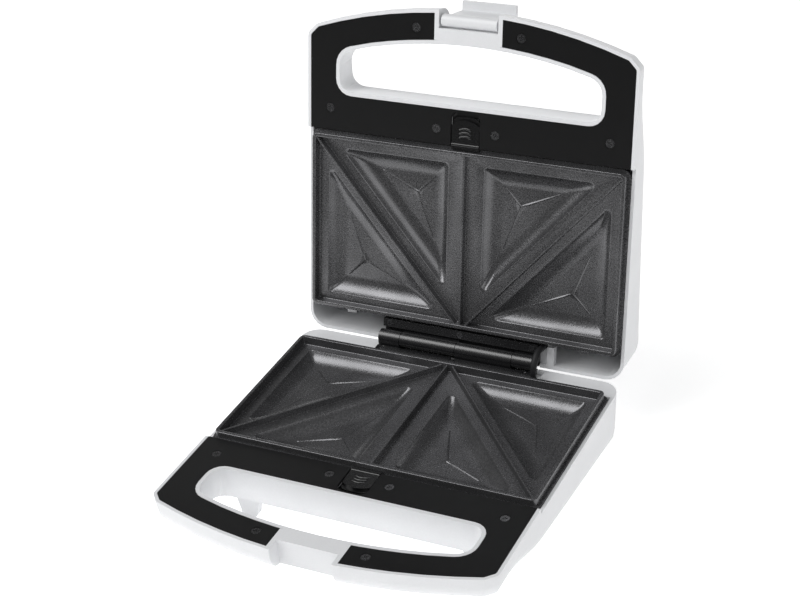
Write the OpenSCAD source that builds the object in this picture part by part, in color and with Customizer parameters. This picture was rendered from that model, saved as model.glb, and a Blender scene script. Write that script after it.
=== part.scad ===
// Sandwich toaster: two hinged half shells, each with a cover panel, a cooking plate and its heater.
// Each half is drawn in a half frame: x across, y from the hinge axis (0) to the front (negative),
// z = 0 on the cover panel's face and negative towards the outside. base_place() stands the lower half
// on the table, and lid_place() turns the upper half over and swings it open about the hinge axis.

/* [Body] */
// Width across the rims
body_w = 235; // [228:1:245]
// Hinge axis to the middle of the bowed front rim
body_l = 232.1; // [230:0.5:236]
// Hinge axis to the rear rim of the base
rear_l = 4.7; // [4.2:0.1:5]
// How far the lid's rear rim stands behind the base's
lid_overhang = 0.7; // [0.6:0.1:1.2]
// Radius of the bowed front edge
front_r = 342.5; // [320:2.5:380]
// Wall thickness of both shells
wall = 2.2; // [1.8:0.1:2.6]
// Depth of the handle bar below the cover panel
handle_d = 18; // [18:0.5:18.5]
// Extra depth of the belly behind the handle
belly_d = 12; // [10:0.5:14]
// Depth gained per mm towards the rear
belly_slope = 0.085; // [0.07:0.005:0.1]
// Inward rounding of the outer bottom edge
edge_in = 9; // [7:0.5:10]
// Height of that rounding
edge_h = 12; // [10:0.5:13]
// Forward lean of the rear wall, per mm of depth
rear_lean = 0.2; // [0.1:0.05:0.25]
// Hinge axis above the cover panel's face
hinge_h = 3.2; // [3.1:0.1:4]
// Opening angle of the lid
open_angle = 102.97; // [95:0.5:103]

/* [Handle] */
// Length of the handle, from the middle of the front rim to the cover panel's rear edge
handle_l = 90.3; // [89.6:0.1:91]
// Width of the handle bar in front of the hand opening
grip_bar = 19.9; // [19.4:0.1:20.4]
// Length of the hand opening in the cover panel, in the middle
grip_l = 45.9; // [45:0.1:46.5]
// Body between the rim and the hand opening at each side
grip_cheek = 21.2; // [20.4:0.2:25]
// Radius of the opening's rear corners
grip_rear_r = 11.5; // [8:0.5:14]
// Radius of the opening's front corners
grip_front_r = 14.2; // [10:0.2:16]
// Thickness of the lining wall round the opening
grip_wall = 2.6; // [2.2:0.1:3]
// Half width of the latch notch
notch_w = 21; // [20:0.5:23]
// Thickness of the notch's side walls
notch_wall = 3; // [2.5:0.1:4]

/* [Cover panel] */
// Thickness of the cover panels
panel_t = 2; // [1.6:0.1:2.2]
// Gap between a cover panel and the rim round it
panel_gap = 0.3; // [0.2:0.05:0.4]
// Radius of the cover panel's screw holes
panel_hole_r = 1.7; // [1.6:0.05:2]
// Radius of the screw heads
head_r = 3; // [2.6:0.1:3.4]
// Radius of the screw shanks
shank_r = 1.4; // [1.2:0.05:1.5]
// Length of the cover panel's screws
panel_screw_l = 11; // [8:0.5:12]
// Radius of the posts that the panel's screws bite into
post_r = 3.7; // [3.2:0.1:4.2]

/* [Cooking plates] */
// Distance from the body's side to the plate's side
plate_side_gap = 4.5; // [4.4:0.1:6.5]
// Distance from the cover panel's rear edge to the plate
plate_front_gap = 3; // [2.6:0.1:3.5]
// Hinge axis to the rear edge of the plate
plate_rear = 14.8; // [14.6:0.1:15.2]
// Height of the plate's rim above the cover panel's face
plate_rim_h = 2.6; // [2:0.1:2.7]
// Height of the dividing ribs above the cover panel's face
rib_h = 1.2; // [0.6:0.1:2]
// Width of the ribs' tops
rib_w = 1.4; // [1:0.1:2.4]
// Depth of the plate's land below the cover panel's face
land_d = 3.4; // [3:0.1:3.8]
// Thickness of the plate's metal
plate_t = 2; // [1.6:0.1:2.2]
// Depth of the pockets below the land
pocket_d = 7; // [5:0.5:8]
// Width of a pocket's curved wall, seen from above
pocket_wall = 12; // [10:0.5:14]
// Rise of the pocket floor towards its middle
pocket_rise = 0.3; // [0.1:0.1:0.6]
// Width of the flange round the plate
flange_w = 2; // [1.6:0.1:2.1]

/* [Hinge] */
// Radius of the hinge barrel
barrel_r = 5.3; // [4.8:0.1:5.6]
// Half width of the hinge
barrel_w = 57.7; // [54:0.5:57.7]
// Distance from the middle to the outer knuckle joints
knuckle_x = 41.8; // [36:0.5:46]
// Radius of the hinge pin
pin_r = 2; // [1.6:0.1:2.4]
// Running clearance of the hinge pin
pin_fit = 0.05; // [0.03:0.01:0.08]
// End gap between neighbouring knuckles
knuckle_gap = 0.4; // [0.3:0.05:0.6]
// Room beside the barrel for the wire sleeve
hinge_side_gap = 5.5; // [5.2:0.1:7]

/* [Latch] */
// Distance from the middle of the lid's front rim back to the latch axis
latch_inset = 8.06; // [7.7:0.02:8.3]
// Depth of the latch axis below the lid's cover panel
latch_d = 4.5; // [4.4:0.05:4.8]
// Radius of the latch barrel
latch_r = 4.2; // [3.8:0.1:4.3]
// Thickness of the latch plate
latch_t = 2.8; // [2.4:0.1:3]
// Reach of the latch lip past the plate
latch_lip = 6.2; // [5.5:0.1:6.6]
// Radius of the latch pin
latch_pin_r = 1.5; // [1.2:0.1:1.8]

/* [Release button] */
// Width of the release button
button_w = 20; // [17:0.5:20.4]
// Travel of the release button
button_travel = 3.5; // [3:0.1:3.8]
// Distance from the button's nose to its front edge
button_l = 20.2; // [18:0.2:20.6]

/* [Heater] */
// Radius of the heating element's tube
element_r = 3.2; // [2.8:0.1:3.4]
// Depth of the element's middle below the cover panel
element_d = 16.6; // [16.2:0.1:17.2]
// Depth of the reflector's floor below the cover panel
reflector_d = 21.2; // [20.8:0.1:22]
// Thickness of the reflector sheet
reflector_t = 0.8; // [0.6:0.1:1]

/* [Feet and inlet] */
// Distance from the body's side to the middle of a front foot
foot_inset = 37.5; // [29:0.5:48]
// Distance from the cover panel's rear edge forwards to the front feet
foot_ahead = 15; // [11:0.5:18]
// Thickness of the front feet
foot_t = 6; // [4:0.5:8]
// Distance from the body's side to the middle of a rear foot
rear_foot_inset = 25.5; // [21:0.5:48]
// Distance from the hinge axis to the rear feet
rear_foot_y = 20; // [18:0.5:30]
// Height of the rear feet below the base's underside
rear_foot_h = 4.375; // [3.5:0.125:11]
// Radius of the rear feet
rear_foot_r = 7; // [5:0.5:8]
// Radius of the cord inlet
inlet_r = 4.2; // [3.5:0.1:5]
// Distance of the cord inlet from the body's side
inlet_inset = 33.5; // [27:0.5:43]

/* [Hidden] */
$fn = 48;

// Facets of polygonal arcs
arc_steps = 6;
edge_steps = 4;
// Room past a face that a cut runs clear by
over = 1;
deep = 80;
// Running gap between sliding pieces
slide_gap = 0.3;

half_w = body_w / 2;
panel_rear = body_l - handle_l;
grip_front = body_l - grip_bar;
grip_rear = grip_front - grip_l;
// Where the bowed front's bevelled corners meet the sides
corner_back = 25.2;
front_side_y = corner_back - body_l;
front_cut = 6.6;
side_draft = 0.012;
corner_r = 5;
rear_corner_r = 13;
front_c = front_r - body_l;

// Stations along the side walls, which sample the curved underside
belly_front_inset = 42.1;
belly_l = 54;
slope_lead = 9;
belly_front = belly_front_inset - body_l;
belly_back = belly_front + belly_l;
slope_start = belly_back - slope_lead;
station_step = 8;
station_lead = 6;
first_station = belly_front - station_lead;
side_stations = concat([for (i = [0:8]) first_station + i * station_step],
                       [for (share = [0.82, 0.68, 0.51, 0.34, 0.18]) -share * panel_rear]);
front_stations = [for (share = [0.1, 0.2, 0.34, 0.49, 0.65, 0.8]) share * half_w];

rim_drop = 3.5;
// Depths of the latch notch in the two front rims, and of the hook recess behind the base's
notch_d_base = 10.6;
notch_d_lid = 12.9;
notch_skin = 2.2;
recess_skin = 2.2;

// Moving frames ------------------------------------------------------------------------------------

latch_l = body_l - latch_inset;
// The lip clears the underside of the base's handle bar when the lid is shut
lip_clear = 3.4;
latch_reach = latch_d + 2 * hinge_h + handle_d + lip_clear;
latch_back = 2;
latch_lip_t = 2.6;
lip_tip_y = -latch_l - latch_back - latch_lip;
lip_tip_z = -latch_d - latch_reach;
rear_reach = cos(open_angle) * lip_tip_y + sin(open_angle) * (hinge_h - lip_tip_z);
front_reach = sqrt(pow(front_r, 2) - pow(notch_w, 2)) - front_c;
// Moves the whole part so that the middle of its footprint is the origin
origin_y = (front_reach - rear_reach) / 2;

module base_place() {
    translate([0, origin_y, panel_z]) children();
}

module lid_place() {
    translate([0, origin_y, panel_z + hinge_h])
        rotate([-open_angle, 0, 0])
            mirror([0, 0, 1])
                translate([0, 0, -hinge_h]) children();
}

// Outlines -----------------------------------------------------------------------------------------

function unit(v) = v / norm(v);
function flat(v) = [v.x, v.y];
function out_normal(a, b) = let (d = unit(b - a)) [d.y, -d.x];
function moved_corner(a, p, b, grow) =
    let (n = out_normal(a, p), m = out_normal(p, b)) p + grow * (n + m) / (1 + n * m);

// Arc of radius r that rounds corner p between its neighbours a and b
function corner_arc(a, p, b, r) =
    let (
        u = unit(a - p),
        w = unit(b - p),
        half = acos(u * w) / 2,
        c = p + unit(u + w) * r / sin(half),
        start = p + u * r / tan(half) - c,
        from = atan2(start.y, start.x),
        turn = 180 - 2 * half
    ) [for (i = [0:arc_steps - 1]) c + r * [cos(from + turn * i / (arc_steps - 1)),
                                            sin(from + turn * i / (arc_steps - 1))]];

// Outline through corners [x, y, radius], moved outwards by grow
function rounded_outline(corners, grow = 0, least = 0.6) =
    let (
        n = len(corners),
        p = [for (i = [0:n - 1]) moved_corner(flat(corners[(i + n - 1) % n]), flat(corners[i]),
                                              flat(corners[(i + 1) % n]), grow)]
    ) [for (i = [0:n - 1]) each (corners[i][2] == 0 ? [p[i]] :
        corner_arc(p[(i + n - 1) % n], p[i], p[(i + 1) % n], max(corners[i][2] + grow, least)))];

function mirrored(half) = [for (i = [len(half) - 1:-1:0]) [-half[i].x, half[i].y, half[i][2]]];
function bow_y(x, r, l) = r - l - sqrt(r * r - x * x);

body_half = concat(
    [for (x = front_stations) [x, bow_y(x, front_r, body_l), 0]],
    [[half_w - front_cut, bow_y(half_w - front_cut, front_r, body_l), corner_r],
     [half_w, front_side_y, corner_r]],
    [for (y = side_stations) [half_w, y, 0]],
    [[half_w, rear_l, rear_corner_r]]);
body_corners = concat([[0, -body_l, 0]], body_half, mirrored(body_half));

grip_bow_r = 335;
grip_side = half_w - grip_cheek;
grip_half = concat(
    [for (share = [0.15, 0.29, 0.44, 0.58, 0.73])
        [share * grip_side, bow_y(share * grip_side, grip_bow_r, grip_front), 0]],
    [[grip_side, bow_y(grip_side, grip_bow_r, grip_front), grip_front_r],
     [grip_side, -grip_rear, grip_rear_r]]);
grip_corners = concat([[0, -grip_front, 0]], grip_half, mirrored(grip_half));
grip_lining = -panel_gap;

// Depth of the outside below the cover panel, at y
function smooth(t) = let (u = min(1, max(0, t))) u * u * (3 - 2 * u);
function depth(y) = handle_d + belly_d * smooth((y - belly_front) / (belly_back - belly_front))
    + belly_slope * max(0, y - slope_start);

// Height of the base's cover panel above the table
panel_z = depth(-rear_foot_y) + rear_foot_h;

// One ring of the hollow loft, inset by grow; it lies fall below the start of the bottom edge's
// rounding, and the rear wall leans forwards
lean_from = -60;
function ring(rear, grow, fall) =
    [for (p = rounded_outline(body_corners, grow))
        let (
            z = edge_h - depth(p.y) - fall,
            back = max(0, (p.y - lean_from) / (rear_l - lean_from))
        ) [p.x, p.y + back * (rear + rear_lean * z), z]];

function top_ring(rear, grow, z) =
    [for (p = rounded_outline(body_corners, grow))
        let (back = max(0, (p.y - lean_from) / (rear_l - lean_from))) [p.x, p.y + back * rear, z]];

// Closed body between rings of equal length; the last ring is closed by strips across x
module loft(rings) {
    n = len(rings[0]);
    last = (len(rings) - 1) * n;
    sides = [for (k = [0:len(rings) - 2], i = [0:n - 1])
        let (a = k * n + i, b = k * n + (i + 1) % n) each [[a, b, b + n], [a, b + n, a + n]]];
    bottom = [for (i = [0:(n - 1) / 2 - 1])
        let (a = last + i, b = last + i + 1, c = last + n - i - 1, d = last + (n - i) % n)
            i == 0 ? [a, b, c] : [a, b, c, d]];
    polyhedron(points = [for (r = rings) each r],
               faces = concat([[for (i = [n - 1:-1:0]) i]], sides, bottom), convexity = 4);
}

function loft_rings(rear, inset, top) = concat(
    [top_ring(rear, -inset, top)],
    [for (k = [0:edge_steps]) let (turn = 90 * k / edge_steps)
        ring(rear, -inset - side_draft * (handle_d - edge_h) - max(edge_in - inset, 0) * (1 - cos(turn)),
             (edge_h - inset) * sin(turn))]);

module outer_body(rear) {
    loft(loft_rings(rear, 0, 0));
}

module cavity(rear) {
    loft(loft_rings(rear, wall, over));
}

module prism(points, low, high) {
    translate([0, 0, low])
        linear_extrude(high - low)
            polygon(points);
}

module block(x, y, z) {
    translate([x[0], y[0], z[0]])
        cube([x[1] - x[0], y[1] - y[0], z[1] - z[0]]);
}

module round_bar(at, r, low, high) {
    translate([at.x, at.y, low]) cylinder(r = r, h = high - low);
}

// Places shared by both halves ---------------------------------------------------------------------

outer_screw_inset = 17.1;
outer_screw_ahead = 15.3;
inner_screw_x = 21;
inner_screw_ahead = 10.4;
front_screw_x = 37;
front_screw_inset = 14;
screw_spots = [[half_w - outer_screw_inset, -panel_rear - outer_screw_ahead],
               [inner_screw_x, -panel_rear - inner_screw_ahead],
               [front_screw_x, front_screw_inset - body_l]];
panel_screw_at = [for (s = [-1, 1], p = screw_spots) [s * p.x, p.y]];

plate_w = body_w - 2 * plate_side_gap;
plate_side = plate_w / 2;
plate_l = panel_rear - plate_front_gap - plate_rear;
plate_front = plate_rear + plate_l;
plate_mid = -(plate_rear + plate_front) / 2;
flange_top = -2.4;
flange_low = -4.2;
rest_inset = 23;
rest_at = [rest_inset - plate_front, -plate_rear - rest_inset];
rest_t = 3;

// Margins between the plate's edges, its ribs and its pockets
side_margin = 10;
front_margin = 10.2;
rear_margin = 8.4;
mid_margin = 12.9;
front_rib_margin = 7.8;
rear_rib_margin = 7.4;

// The reflector's walls stand just outside the pockets
reflector_side_gap = 2;
reflector_front_gap = 2.4;
reflector_rear_inset = 0.8;
reflector_w = plate_w - 2 * side_margin + 2 * reflector_side_gap;
reflector_front = plate_front - front_margin + reflector_front_gap;
reflector_back = plate_rear + rear_margin - reflector_rear_inset;
reflector_wall_top = -8.5;
reflector_screw_inset = 12;
reflector_screw_at = [for (s = [-1, 1], y = [reflector_screw_inset - reflector_front,
                                             -reflector_back - reflector_screw_inset])
    [s * (reflector_w / 2 - reflector_screw_inset), y]];
reflector_post_r = 4;

// The hinge's pocket is wider on the side of the wire sleeve, up to sleeve_back behind the axis
leaf_side_gap = 0.6;
pocket_left = barrel_w + leaf_side_gap;
hinge_pocket_w = barrel_w + hinge_side_gap;
sleeve_back = 1.2;
hinge_floor = -6.2;
hinge_floor_t = 2;
pocket_front = plate_rear - flange_w - slide_gap;
leaf_screw_x = [-53, 0, 53];
leaf_screw_y = -9.4;
leaf_screw_r = 1.25;
sleeve_gap = 0.5;
sleeve_r = 2.1;
sleeve_x = barrel_w + sleeve_gap + sleeve_r;
sleeve_bend = 10.5;

left_hook_inset = 34.5;
right_hook_inset = 27.5;
hook_x = [left_hook_inset - half_w, half_w - right_hook_inset];

foot_x = half_w - foot_inset;
foot_y = panel_rear + foot_ahead;
rear_foot_x = half_w - rear_foot_inset;
inlet_x = half_w - inlet_inset;

slot_w = 10.5;
slot_l = 23.5;
slot_front = panel_rear + slot_l;
nose_out = 2.4;
nose_y = panel_rear - nose_out;
channel_floor = -6.3;
channel_low = -8.2;
channel_x = 12.6;
channel_wall = 1.2;
channel_back = panel_rear + channel_wall;
peg_w = 2.4;
peg_t = 2;
peg_ahead = 14.3;
peg_y = nose_y + peg_ahead;
peg_top = -3.2;

// Shells -------------------------------------------------------------------------------------------

// What stands inside a shell, trimmed to the shell by cutting it out of the cavity; skirt is how far
// the hinge pocket's floor runs on past its left side
module inside(rear_face, skirt) {
    prism(rounded_outline(grip_corners, grip_lining), -deep, over * 2);
    block([-notch_w - notch_wall, notch_w + notch_wall], [-body_l - over, -grip_front + over],
          [-deep, over * 2]);
    for (p = panel_screw_at) round_bar(p, post_r, -deep, -panel_t);
    // Rests of the plate's flange
    for (y = rest_at)
        both_ways() block([plate_side + slide_gap, half_w + over], [y - rest_t / 2, y + rest_t / 2],
                          [-deep, flange_low]);
    for (p = reflector_screw_at) round_bar(p, reflector_post_r, -deep, -reflector_d - reflector_t);
    block([-pocket_left - skirt, hinge_pocket_w + wall], [-pocket_front, rear_face + over],
          [hinge_floor - hinge_floor_t, hinge_floor]);
    // Channel of the release button, with the peg that its spring pushes on
    difference() {
        block([-channel_x, channel_x], [-grip_rear - over, -channel_back], [channel_low, -panel_t]);
        block([-button_w / 2 - slide_gap, button_w / 2 + slide_gap], [-slot_front, -channel_back + over],
              [channel_floor, over]);
    }
    block([-peg_w, peg_w], [-peg_y - peg_t, -peg_y], [channel_low, peg_top]);
}

module shell_cuts(notch_d, rear_face) {
    prism(rounded_outline(grip_corners, grip_lining - grip_wall), -deep, over);
    block([-notch_w, notch_w], [-body_l - over, notch_d - body_l], [-deep, over]);
    block([-notch_w, notch_w], [notch_d + recess_skin - body_l, -grip_front - over / 2],
          [-deep, -notch_skin]);
    block([-half_w - over, half_w + over], [-panel_rear, rear_face + over], [-rim_drop, over * 2]);
    block([-pocket_left, pocket_left], [-pocket_front, rear_face + over], [hinge_floor, over]);
    block([0, hinge_pocket_w], [-pocket_front, sleeve_back], [hinge_floor, over]);
    for (p = panel_screw_at) round_bar(p, shank_r, -panel_screw_l - over, over);
    for (p = reflector_screw_at) round_bar(p, shank_r, -reflector_d - reflector_screw_l - over, over);
    for (x = leaf_screw_x) round_bar([x, leaf_screw_y], leaf_screw_r, -leaf_screw_l - over / 2, over);
    round_bar([sleeve_x, -sleeve_bend], sleeve_r + slide_gap / 2, hinge_floor - hinge_floor_t - over, over);
}

module base_shell() {
    color("white") base_place() {
        difference() {
            outer_body(0);
            difference() {
                cavity(0);
                inside(rear_l, wall);
                // Deck behind the plate
                block([-half_w, half_w], [-pocket_front, rear_l + over], [-rim_drop - wall, -rim_drop]);
                for (x = [-pocket_left - wall, hinge_pocket_w])
                    block([x, x + wall], [-pocket_front, rear_l + over],
                          [hinge_floor - hinge_floor_t, -rim_drop]);
                // Seat of the terminal block and boss of the cord inlet
                block([-block_x - block_w, -block_x], [-block_y - block_t, -block_y], [-deep, block_low]);
                inlet_bar(inlet_r + inlet_wall, inlet_l);
            }
            shell_cuts(notch_d_base, rear_l);
            inlet_bar(inlet_r, inlet_l + over);
            // Cooling slots
            for (s = [-1, 1], i = [0:vent_n - 1])
                block([s * vent_x - vent_l / 2, s * vent_x + vent_l / 2],
                      [vent_y + i * vent_pitch, vent_y + i * vent_pitch + vent_w],
                      [-deep, -reflector_d - reflector_t - over]);
        }
        for (s = [-1, 1]) {
            front_foot(s * foot_x);
            round_bar([s * rear_foot_x, -rear_foot_y], rear_foot_r, -panel_z + pad_t,
                      -depth(-rear_foot_y) + wall / 2);
        }
    }
}

block_w = 24;
block_gap = 4;
block_x = inlet_x - block_w - block_gap;
block_y = 22;
block_t = 14;
block_lift = 0.1;
block_low = wall + block_lift - depth(-block_y - block_t);
block_h = 11;
inlet_z = -21;
inlet_l = 14;
inlet_wall = 3;
vent_n = 5;
vent_pitch = 9;
vent_w = 3;
vent_l = 46;
vent_x = 42;
vent_ahead = 27.2;
vent_y = plate_mid - vent_ahead;
pad_t = 1.5;

// Round bar along y through the rear wall, on the cord inlet's axis
module inlet_bar(r, l) {
    translate([-inlet_x, rear_l + over, inlet_z]) rotate([90, 0, 0]) cylinder(r = r, h = l);
}

foot_root_w = 19;
foot_tip_w = 12;

// Tapered tongue under the shell, rounded at its tip
module front_foot(x) {
    root_z = -depth(-foot_y) + wall / 2;
    tip_z = -panel_z + foot_tip_w / 2;
    translate([x, -foot_y + foot_t / 2, 0])
        rotate([90, 0, 0])
            linear_extrude(foot_t)
                union() {
                    polygon([[-foot_root_w / 2, root_z], [foot_root_w / 2, root_z],
                             [foot_tip_w / 2, tip_z], [-foot_tip_w / 2, tip_z]]);
                    translate([0, tip_z]) circle(r = foot_tip_w / 2);
                }
}

module rear_foot_pads() {
    color("dimgray") base_place()
        for (s = [-1, 1])
            round_bar([s * rear_foot_x, -rear_foot_y], rear_foot_r, -panel_z, -panel_z + pad_t);
}

lamp_x = 9;
lamp_ahead = 5.2;
lamp_y = -panel_rear - lamp_ahead;
lens_r = 4;
lens_seat = -24.5;
lens_flange = 1.2;
lens_fit = 0.08;
lens_lip = 1.2;
lens_proud = 0.8;
lamp_r = 2.4;
lamp_l = 9;
lens_boss_r = 6.2;
post_w = 5;
post_front = 10.8;
latch_pin_end = 0.5;
latch_pin_x = notch_w + notch_wall - latch_pin_end;

module lid_shell() {
    rear_face = rear_l + lid_overhang;
    color("white") lid_place()
        difference() {
            outer_body(lid_overhang);
            difference() {
                cavity(lid_overhang);
                inside(rear_face, 0);
                // Post beside the wire sleeve
                block([hinge_pocket_w, hinge_pocket_w + post_w], [-post_front, rear_face + over],
                      [hinge_floor - hinge_floor_t, 0]);
                for (s = [-1, 1]) round_bar([s * lamp_x, lamp_y], lens_boss_r, -deep, lens_seat);
                // Posts that carry the plate hooks, under the plate's rear edge
                for (x = hook_x)
                    block([x - hook_w / 2 - over, x + hook_w / 2 + over],
                          [-hook_y - hook_foot - over, -hook_y + hook_t], [-deep, lid_hook_seat]);
            }
            shell_cuts(notch_d_lid, rear_face);
            for (s = [-1, 1]) round_bar([s * lamp_x, lamp_y], lens_r, -deep, lens_seat + over);
            // Bores of the latch pin
            translate([-latch_pin_x, -latch_l, -latch_d])
                rotate([0, 90, 0]) cylinder(r = latch_pin_r, h = 2 * latch_pin_x);
        }
}

// Cover panels -------------------------------------------------------------------------------------

body_side_gap = wall + panel_gap;

module cover_panel() {
    difference() {
        prism(rounded_outline(body_corners, -body_side_gap), -panel_t, 0);
        block([-half_w, half_w], [-panel_rear, rear_l + over], [-panel_t - over, over]);
        prism(rounded_outline(grip_corners, 0), -panel_t - over, over);
        block([-notch_w - notch_wall, notch_w + notch_wall], [-body_l, -grip_front + 2 * over],
              [-panel_t - over, over]);
        button_slot();
        for (p = panel_screw_at) {
            round_bar(p, panel_hole_r, -panel_t - over, over);
            round_bar(p, head_r + head_gap, -head_sink, over);
        }
    }
}
head_sink = 1.2;
head_gap = 0.3;

module button_slot() {
    block([-slot_w, slot_w], [-slot_front + slot_w / 2, -panel_rear + over], [-panel_t - over, over]);
    for (s = [-1, 1])
        round_bar([s * slot_w / 2, -slot_front + slot_w / 2], slot_w / 2, -panel_t - over, over);
    block([-slot_w / 2, slot_w / 2], [-slot_front, -slot_front + slot_w], [-panel_t - over, over]);
}

module base_cover_panel() {
    color("#1c1c1e") base_place() cover_panel();
}

module lid_cover_panel() {
    color("#1c1c1e") lid_place() cover_panel();
}

// Screw with its head's seat at z = -sink and its shank below, cross-slotted to half the head's depth
head_below = 0.2;
slot_reach = 0.55;
slot_half = 0.4;
slot_turn = 20;
// Depth of the cross slot, as a share of the sink
slot_depth = 0.7;
module screw(r, head, l, sink) {
    difference() {
        union() {
            translate([0, 0, -sink]) cylinder(r = head, h = sink - head_below);
            translate([0, 0, -l]) cylinder(r = r, h = l - sink / 2);
        }
        for (a = [0, 90])
            rotate([0, 0, a + slot_turn])
                block([-head * slot_reach, head * slot_reach], [-slot_half, slot_half],
                      [-sink * slot_depth, over]);
    }
}

module panel_screws() {
    for (p = panel_screw_at)
        translate([p.x, p.y, 0]) screw(shank_r, head_r, panel_screw_l, head_sink);
}

module base_panel_screws() {
    color("dimgray") base_place() panel_screws();
}

module lid_panel_screws() {
    color("dimgray") lid_place() panel_screws();
}

// Cooking plates -----------------------------------------------------------------------------------

plate_corner_r = 4;
rim_t = 2.6;
pocket_corner_r = 3;
pocket_steps = 5;
pocket_start = 25;

// Pockets: right-angled triangles, cornered at the rib side (front) or at the outer side (rear)
rib_foot = 1.2;
rib_a_inset = [3, 1.2];
rib_b_inset = [2, 2.5];
rib_a = [rib_a_inset.x, -plate_rear - rib_a_inset.y];
rib_b = [plate_side - rib_b_inset.x, -plate_front + rib_b_inset.y];
rib_dir = unit(rib_b - rib_a);
rib_out = [-rib_dir.y, rib_dir.x];
// Where the line parallel to the diagonal rib, off by m to its outer side, meets x or y
function on_x(x, m) = [x, rib_a.y + (m - (x - rib_a.x) * rib_out.x) / rib_out.y];
function on_y(y, m) = [rib_a.x + (m - (y - rib_a.y) * rib_out.y) / rib_out.x, y];
front_y = -plate_front + front_margin;
rear_y = -plate_rear - rear_margin;
outer_x = plate_side - side_margin;
front_triangle = [[mid_margin, front_y], on_y(front_y, -front_rib_margin),
                  on_x(mid_margin, -front_rib_margin)];
rear_triangle = [[outer_x, rear_y], on_y(rear_y, rear_rib_margin), on_x(outer_x, rear_rib_margin)];
pocket_triangles = [front_triangle, rear_triangle];

function incircle(t) =
    let (a = norm(t[1] - t[2]), b = norm(t[2] - t[0]), c = norm(t[0] - t[1]), s = a + b + c)
        [(a * t[0] + b * t[1] + c * t[2]) / s, sqrt((s / 2 - a) * (s / 2 - b) * (s / 2 - c) / (s / 2))];

// Rounded triangle moved in by d
function triangle_ring(t, d) =
    let (in = incircle(t), k = 1 - d / in[1], c = in[0])
        [for (p = rounded_outline([for (q = t) [q.x, q.y, pocket_corner_r]])) c + k * (p - c)];

// Pocket as a closed body; grow makes it the larger body whose skin is the metal under the pocket
module pocket(t, top, out) {
    in = incircle(t);
    n = 3 * arc_steps;
    wall_rings = [for (k = [0:pocket_steps])
        let (a = pocket_start + (90 - pocket_start) * k / pocket_steps)
        [pocket_wall * (1 - cos(a) / cos(pocket_start)) - out,
         -land_d - out - pocket_d * (sin(a) - sin(pocket_start)) / (1 - sin(pocket_start))]];
    rings = concat([[-out, top]], wall_rings);
    points = concat([for (r = rings) each [for (p = triangle_ring(t, r[0])) [p.x, p.y, r[1]]]],
                    [[in[0].x, in[0].y, -land_d - out - pocket_d + pocket_rise]]);
    last = (len(rings) - 1) * n;
    sides = [for (k = [0:len(rings) - 2], i = [0:n - 1])
        let (a = k * n + i, b = k * n + (i + 1) % n) each [[a, b, b + n], [a, b + n, a + n]]];
    floor = [for (i = [0:n - 1]) [last + i, last + (i + 1) % n, len(points) - 1]];
    polyhedron(points = points, faces = concat([[for (i = [n - 1:-1:0]) i]], sides, floor), convexity = 4);
}

module both_ways() {
    children();
    mirror([1, 0, 0]) children();
}

// Rib with sloping sides between two points on the land
module rib(a, b) {
    d = b - a;
    translate([a.x, a.y, -land_d - plate_t / 2])
        rotate([0, 0, atan2(d.y, d.x)])
            rotate([90, 0, 90])
                linear_extrude(norm(d))
                    polygon([[-rib_w / 2 - rib_foot, 0], [rib_w / 2 + rib_foot, 0],
                             [rib_w / 2, rib_h + land_d + plate_t / 2],
                             [-rib_w / 2, rib_h + land_d + plate_t / 2]]);
}

function plate_outline(grow) = rounded_outline([
    [-plate_side, -plate_front, plate_corner_r], [plate_side, -plate_front, plate_corner_r],
    [plate_side, -plate_rear, plate_corner_r], [-plate_side, -plate_rear, plate_corner_r]], grow);

module cooking_plate() {
    rim_low = -land_d - plate_t;
    difference() {
        union() {
            difference() {
                prism(plate_outline(0), rim_low, plate_rim_h);
                prism(plate_outline(-rim_t), -land_d, plate_rim_h + over);
            }
            prism(plate_outline(flange_w), flange_low, flange_top);
            rib([0, -plate_front + rim_t / 2], [0, -plate_rear - rim_t / 2]);
            rib(rib_a, rib_b);
            rib([-rib_a.x, rib_a.y], [-rib_b.x, rib_b.y]);
            for (t = pocket_triangles) both_ways() pocket(t, -land_d - plate_t / 2, plate_t);
        }
        for (t = pocket_triangles) both_ways() pocket(t, -land_d + rib_h + plate_rim_h, 0);
    }
}

module base_cooking_plate() {
    color("#4a4a4c") base_place() cooking_plate();
}

module lid_cooking_plate() {
    color("#4a4a4c") lid_place() cooking_plate();
}

// Spring clips that hold the plate's rear flange
hook_w = 7;
hook_t = 1;
hook_y = plate_rear - flange_w - slide_gap;
hook_foot = 4;
hook_grip = 1.5;
hook_low = flange_top + slide_gap / 3;
lid_hook_seat = -7;

// Clips that reach over the flange; the foot of each spans foot along y and stands on z = seat
module plate_hooks(seat, foot) {
    for (x = hook_x)
        translate([x - hook_w / 2, 0, 0]) {
            block([0, hook_w], [-hook_y, -hook_y + hook_t], [seat, hook_low + hook_t]);
            block([0, hook_w], [-hook_y - hook_grip, -hook_y + hook_t], [hook_low, hook_low + hook_t]);
            block([0, hook_w], foot, [seat, seat + hook_t]);
        }
}

module base_plate_hooks() {
    color("silver") base_place() plate_hooks(-rim_drop, [-hook_y, -hook_y + hook_foot]);
}

module lid_plate_hooks() {
    color("silver") lid_place() plate_hooks(lid_hook_seat, [-hook_y - hook_foot, -hook_y + hook_t]);
}

// Release buttons ----------------------------------------------------------------------------------

button_top = -0.5;
button_fit = 0.2;
button_low = flange_top + slide_gap;
well_w = 3;
well = [6.6, 16.5];
well_front = nose_y + well[1];
well_back = nose_y + well[0];
well_top = -2.9;
// Rounding of the front edge, as a share of the width
button_bow = 0.8;
band = [2.4, 4.2];
band_h = 0.5;
tongue_inset = 2;
tongue_front_gap = 2.4;
tongue_rear_gap = 1.6;
ridge_r = 9;
ridge_n = 3;
ridge_first = 5.6;
ridge_pitch = 2.6;
ridge_half_angle = 28;
ridge_t = 0.8;
ridge_h = 0.5;
ridge_root = 0.2;

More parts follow.
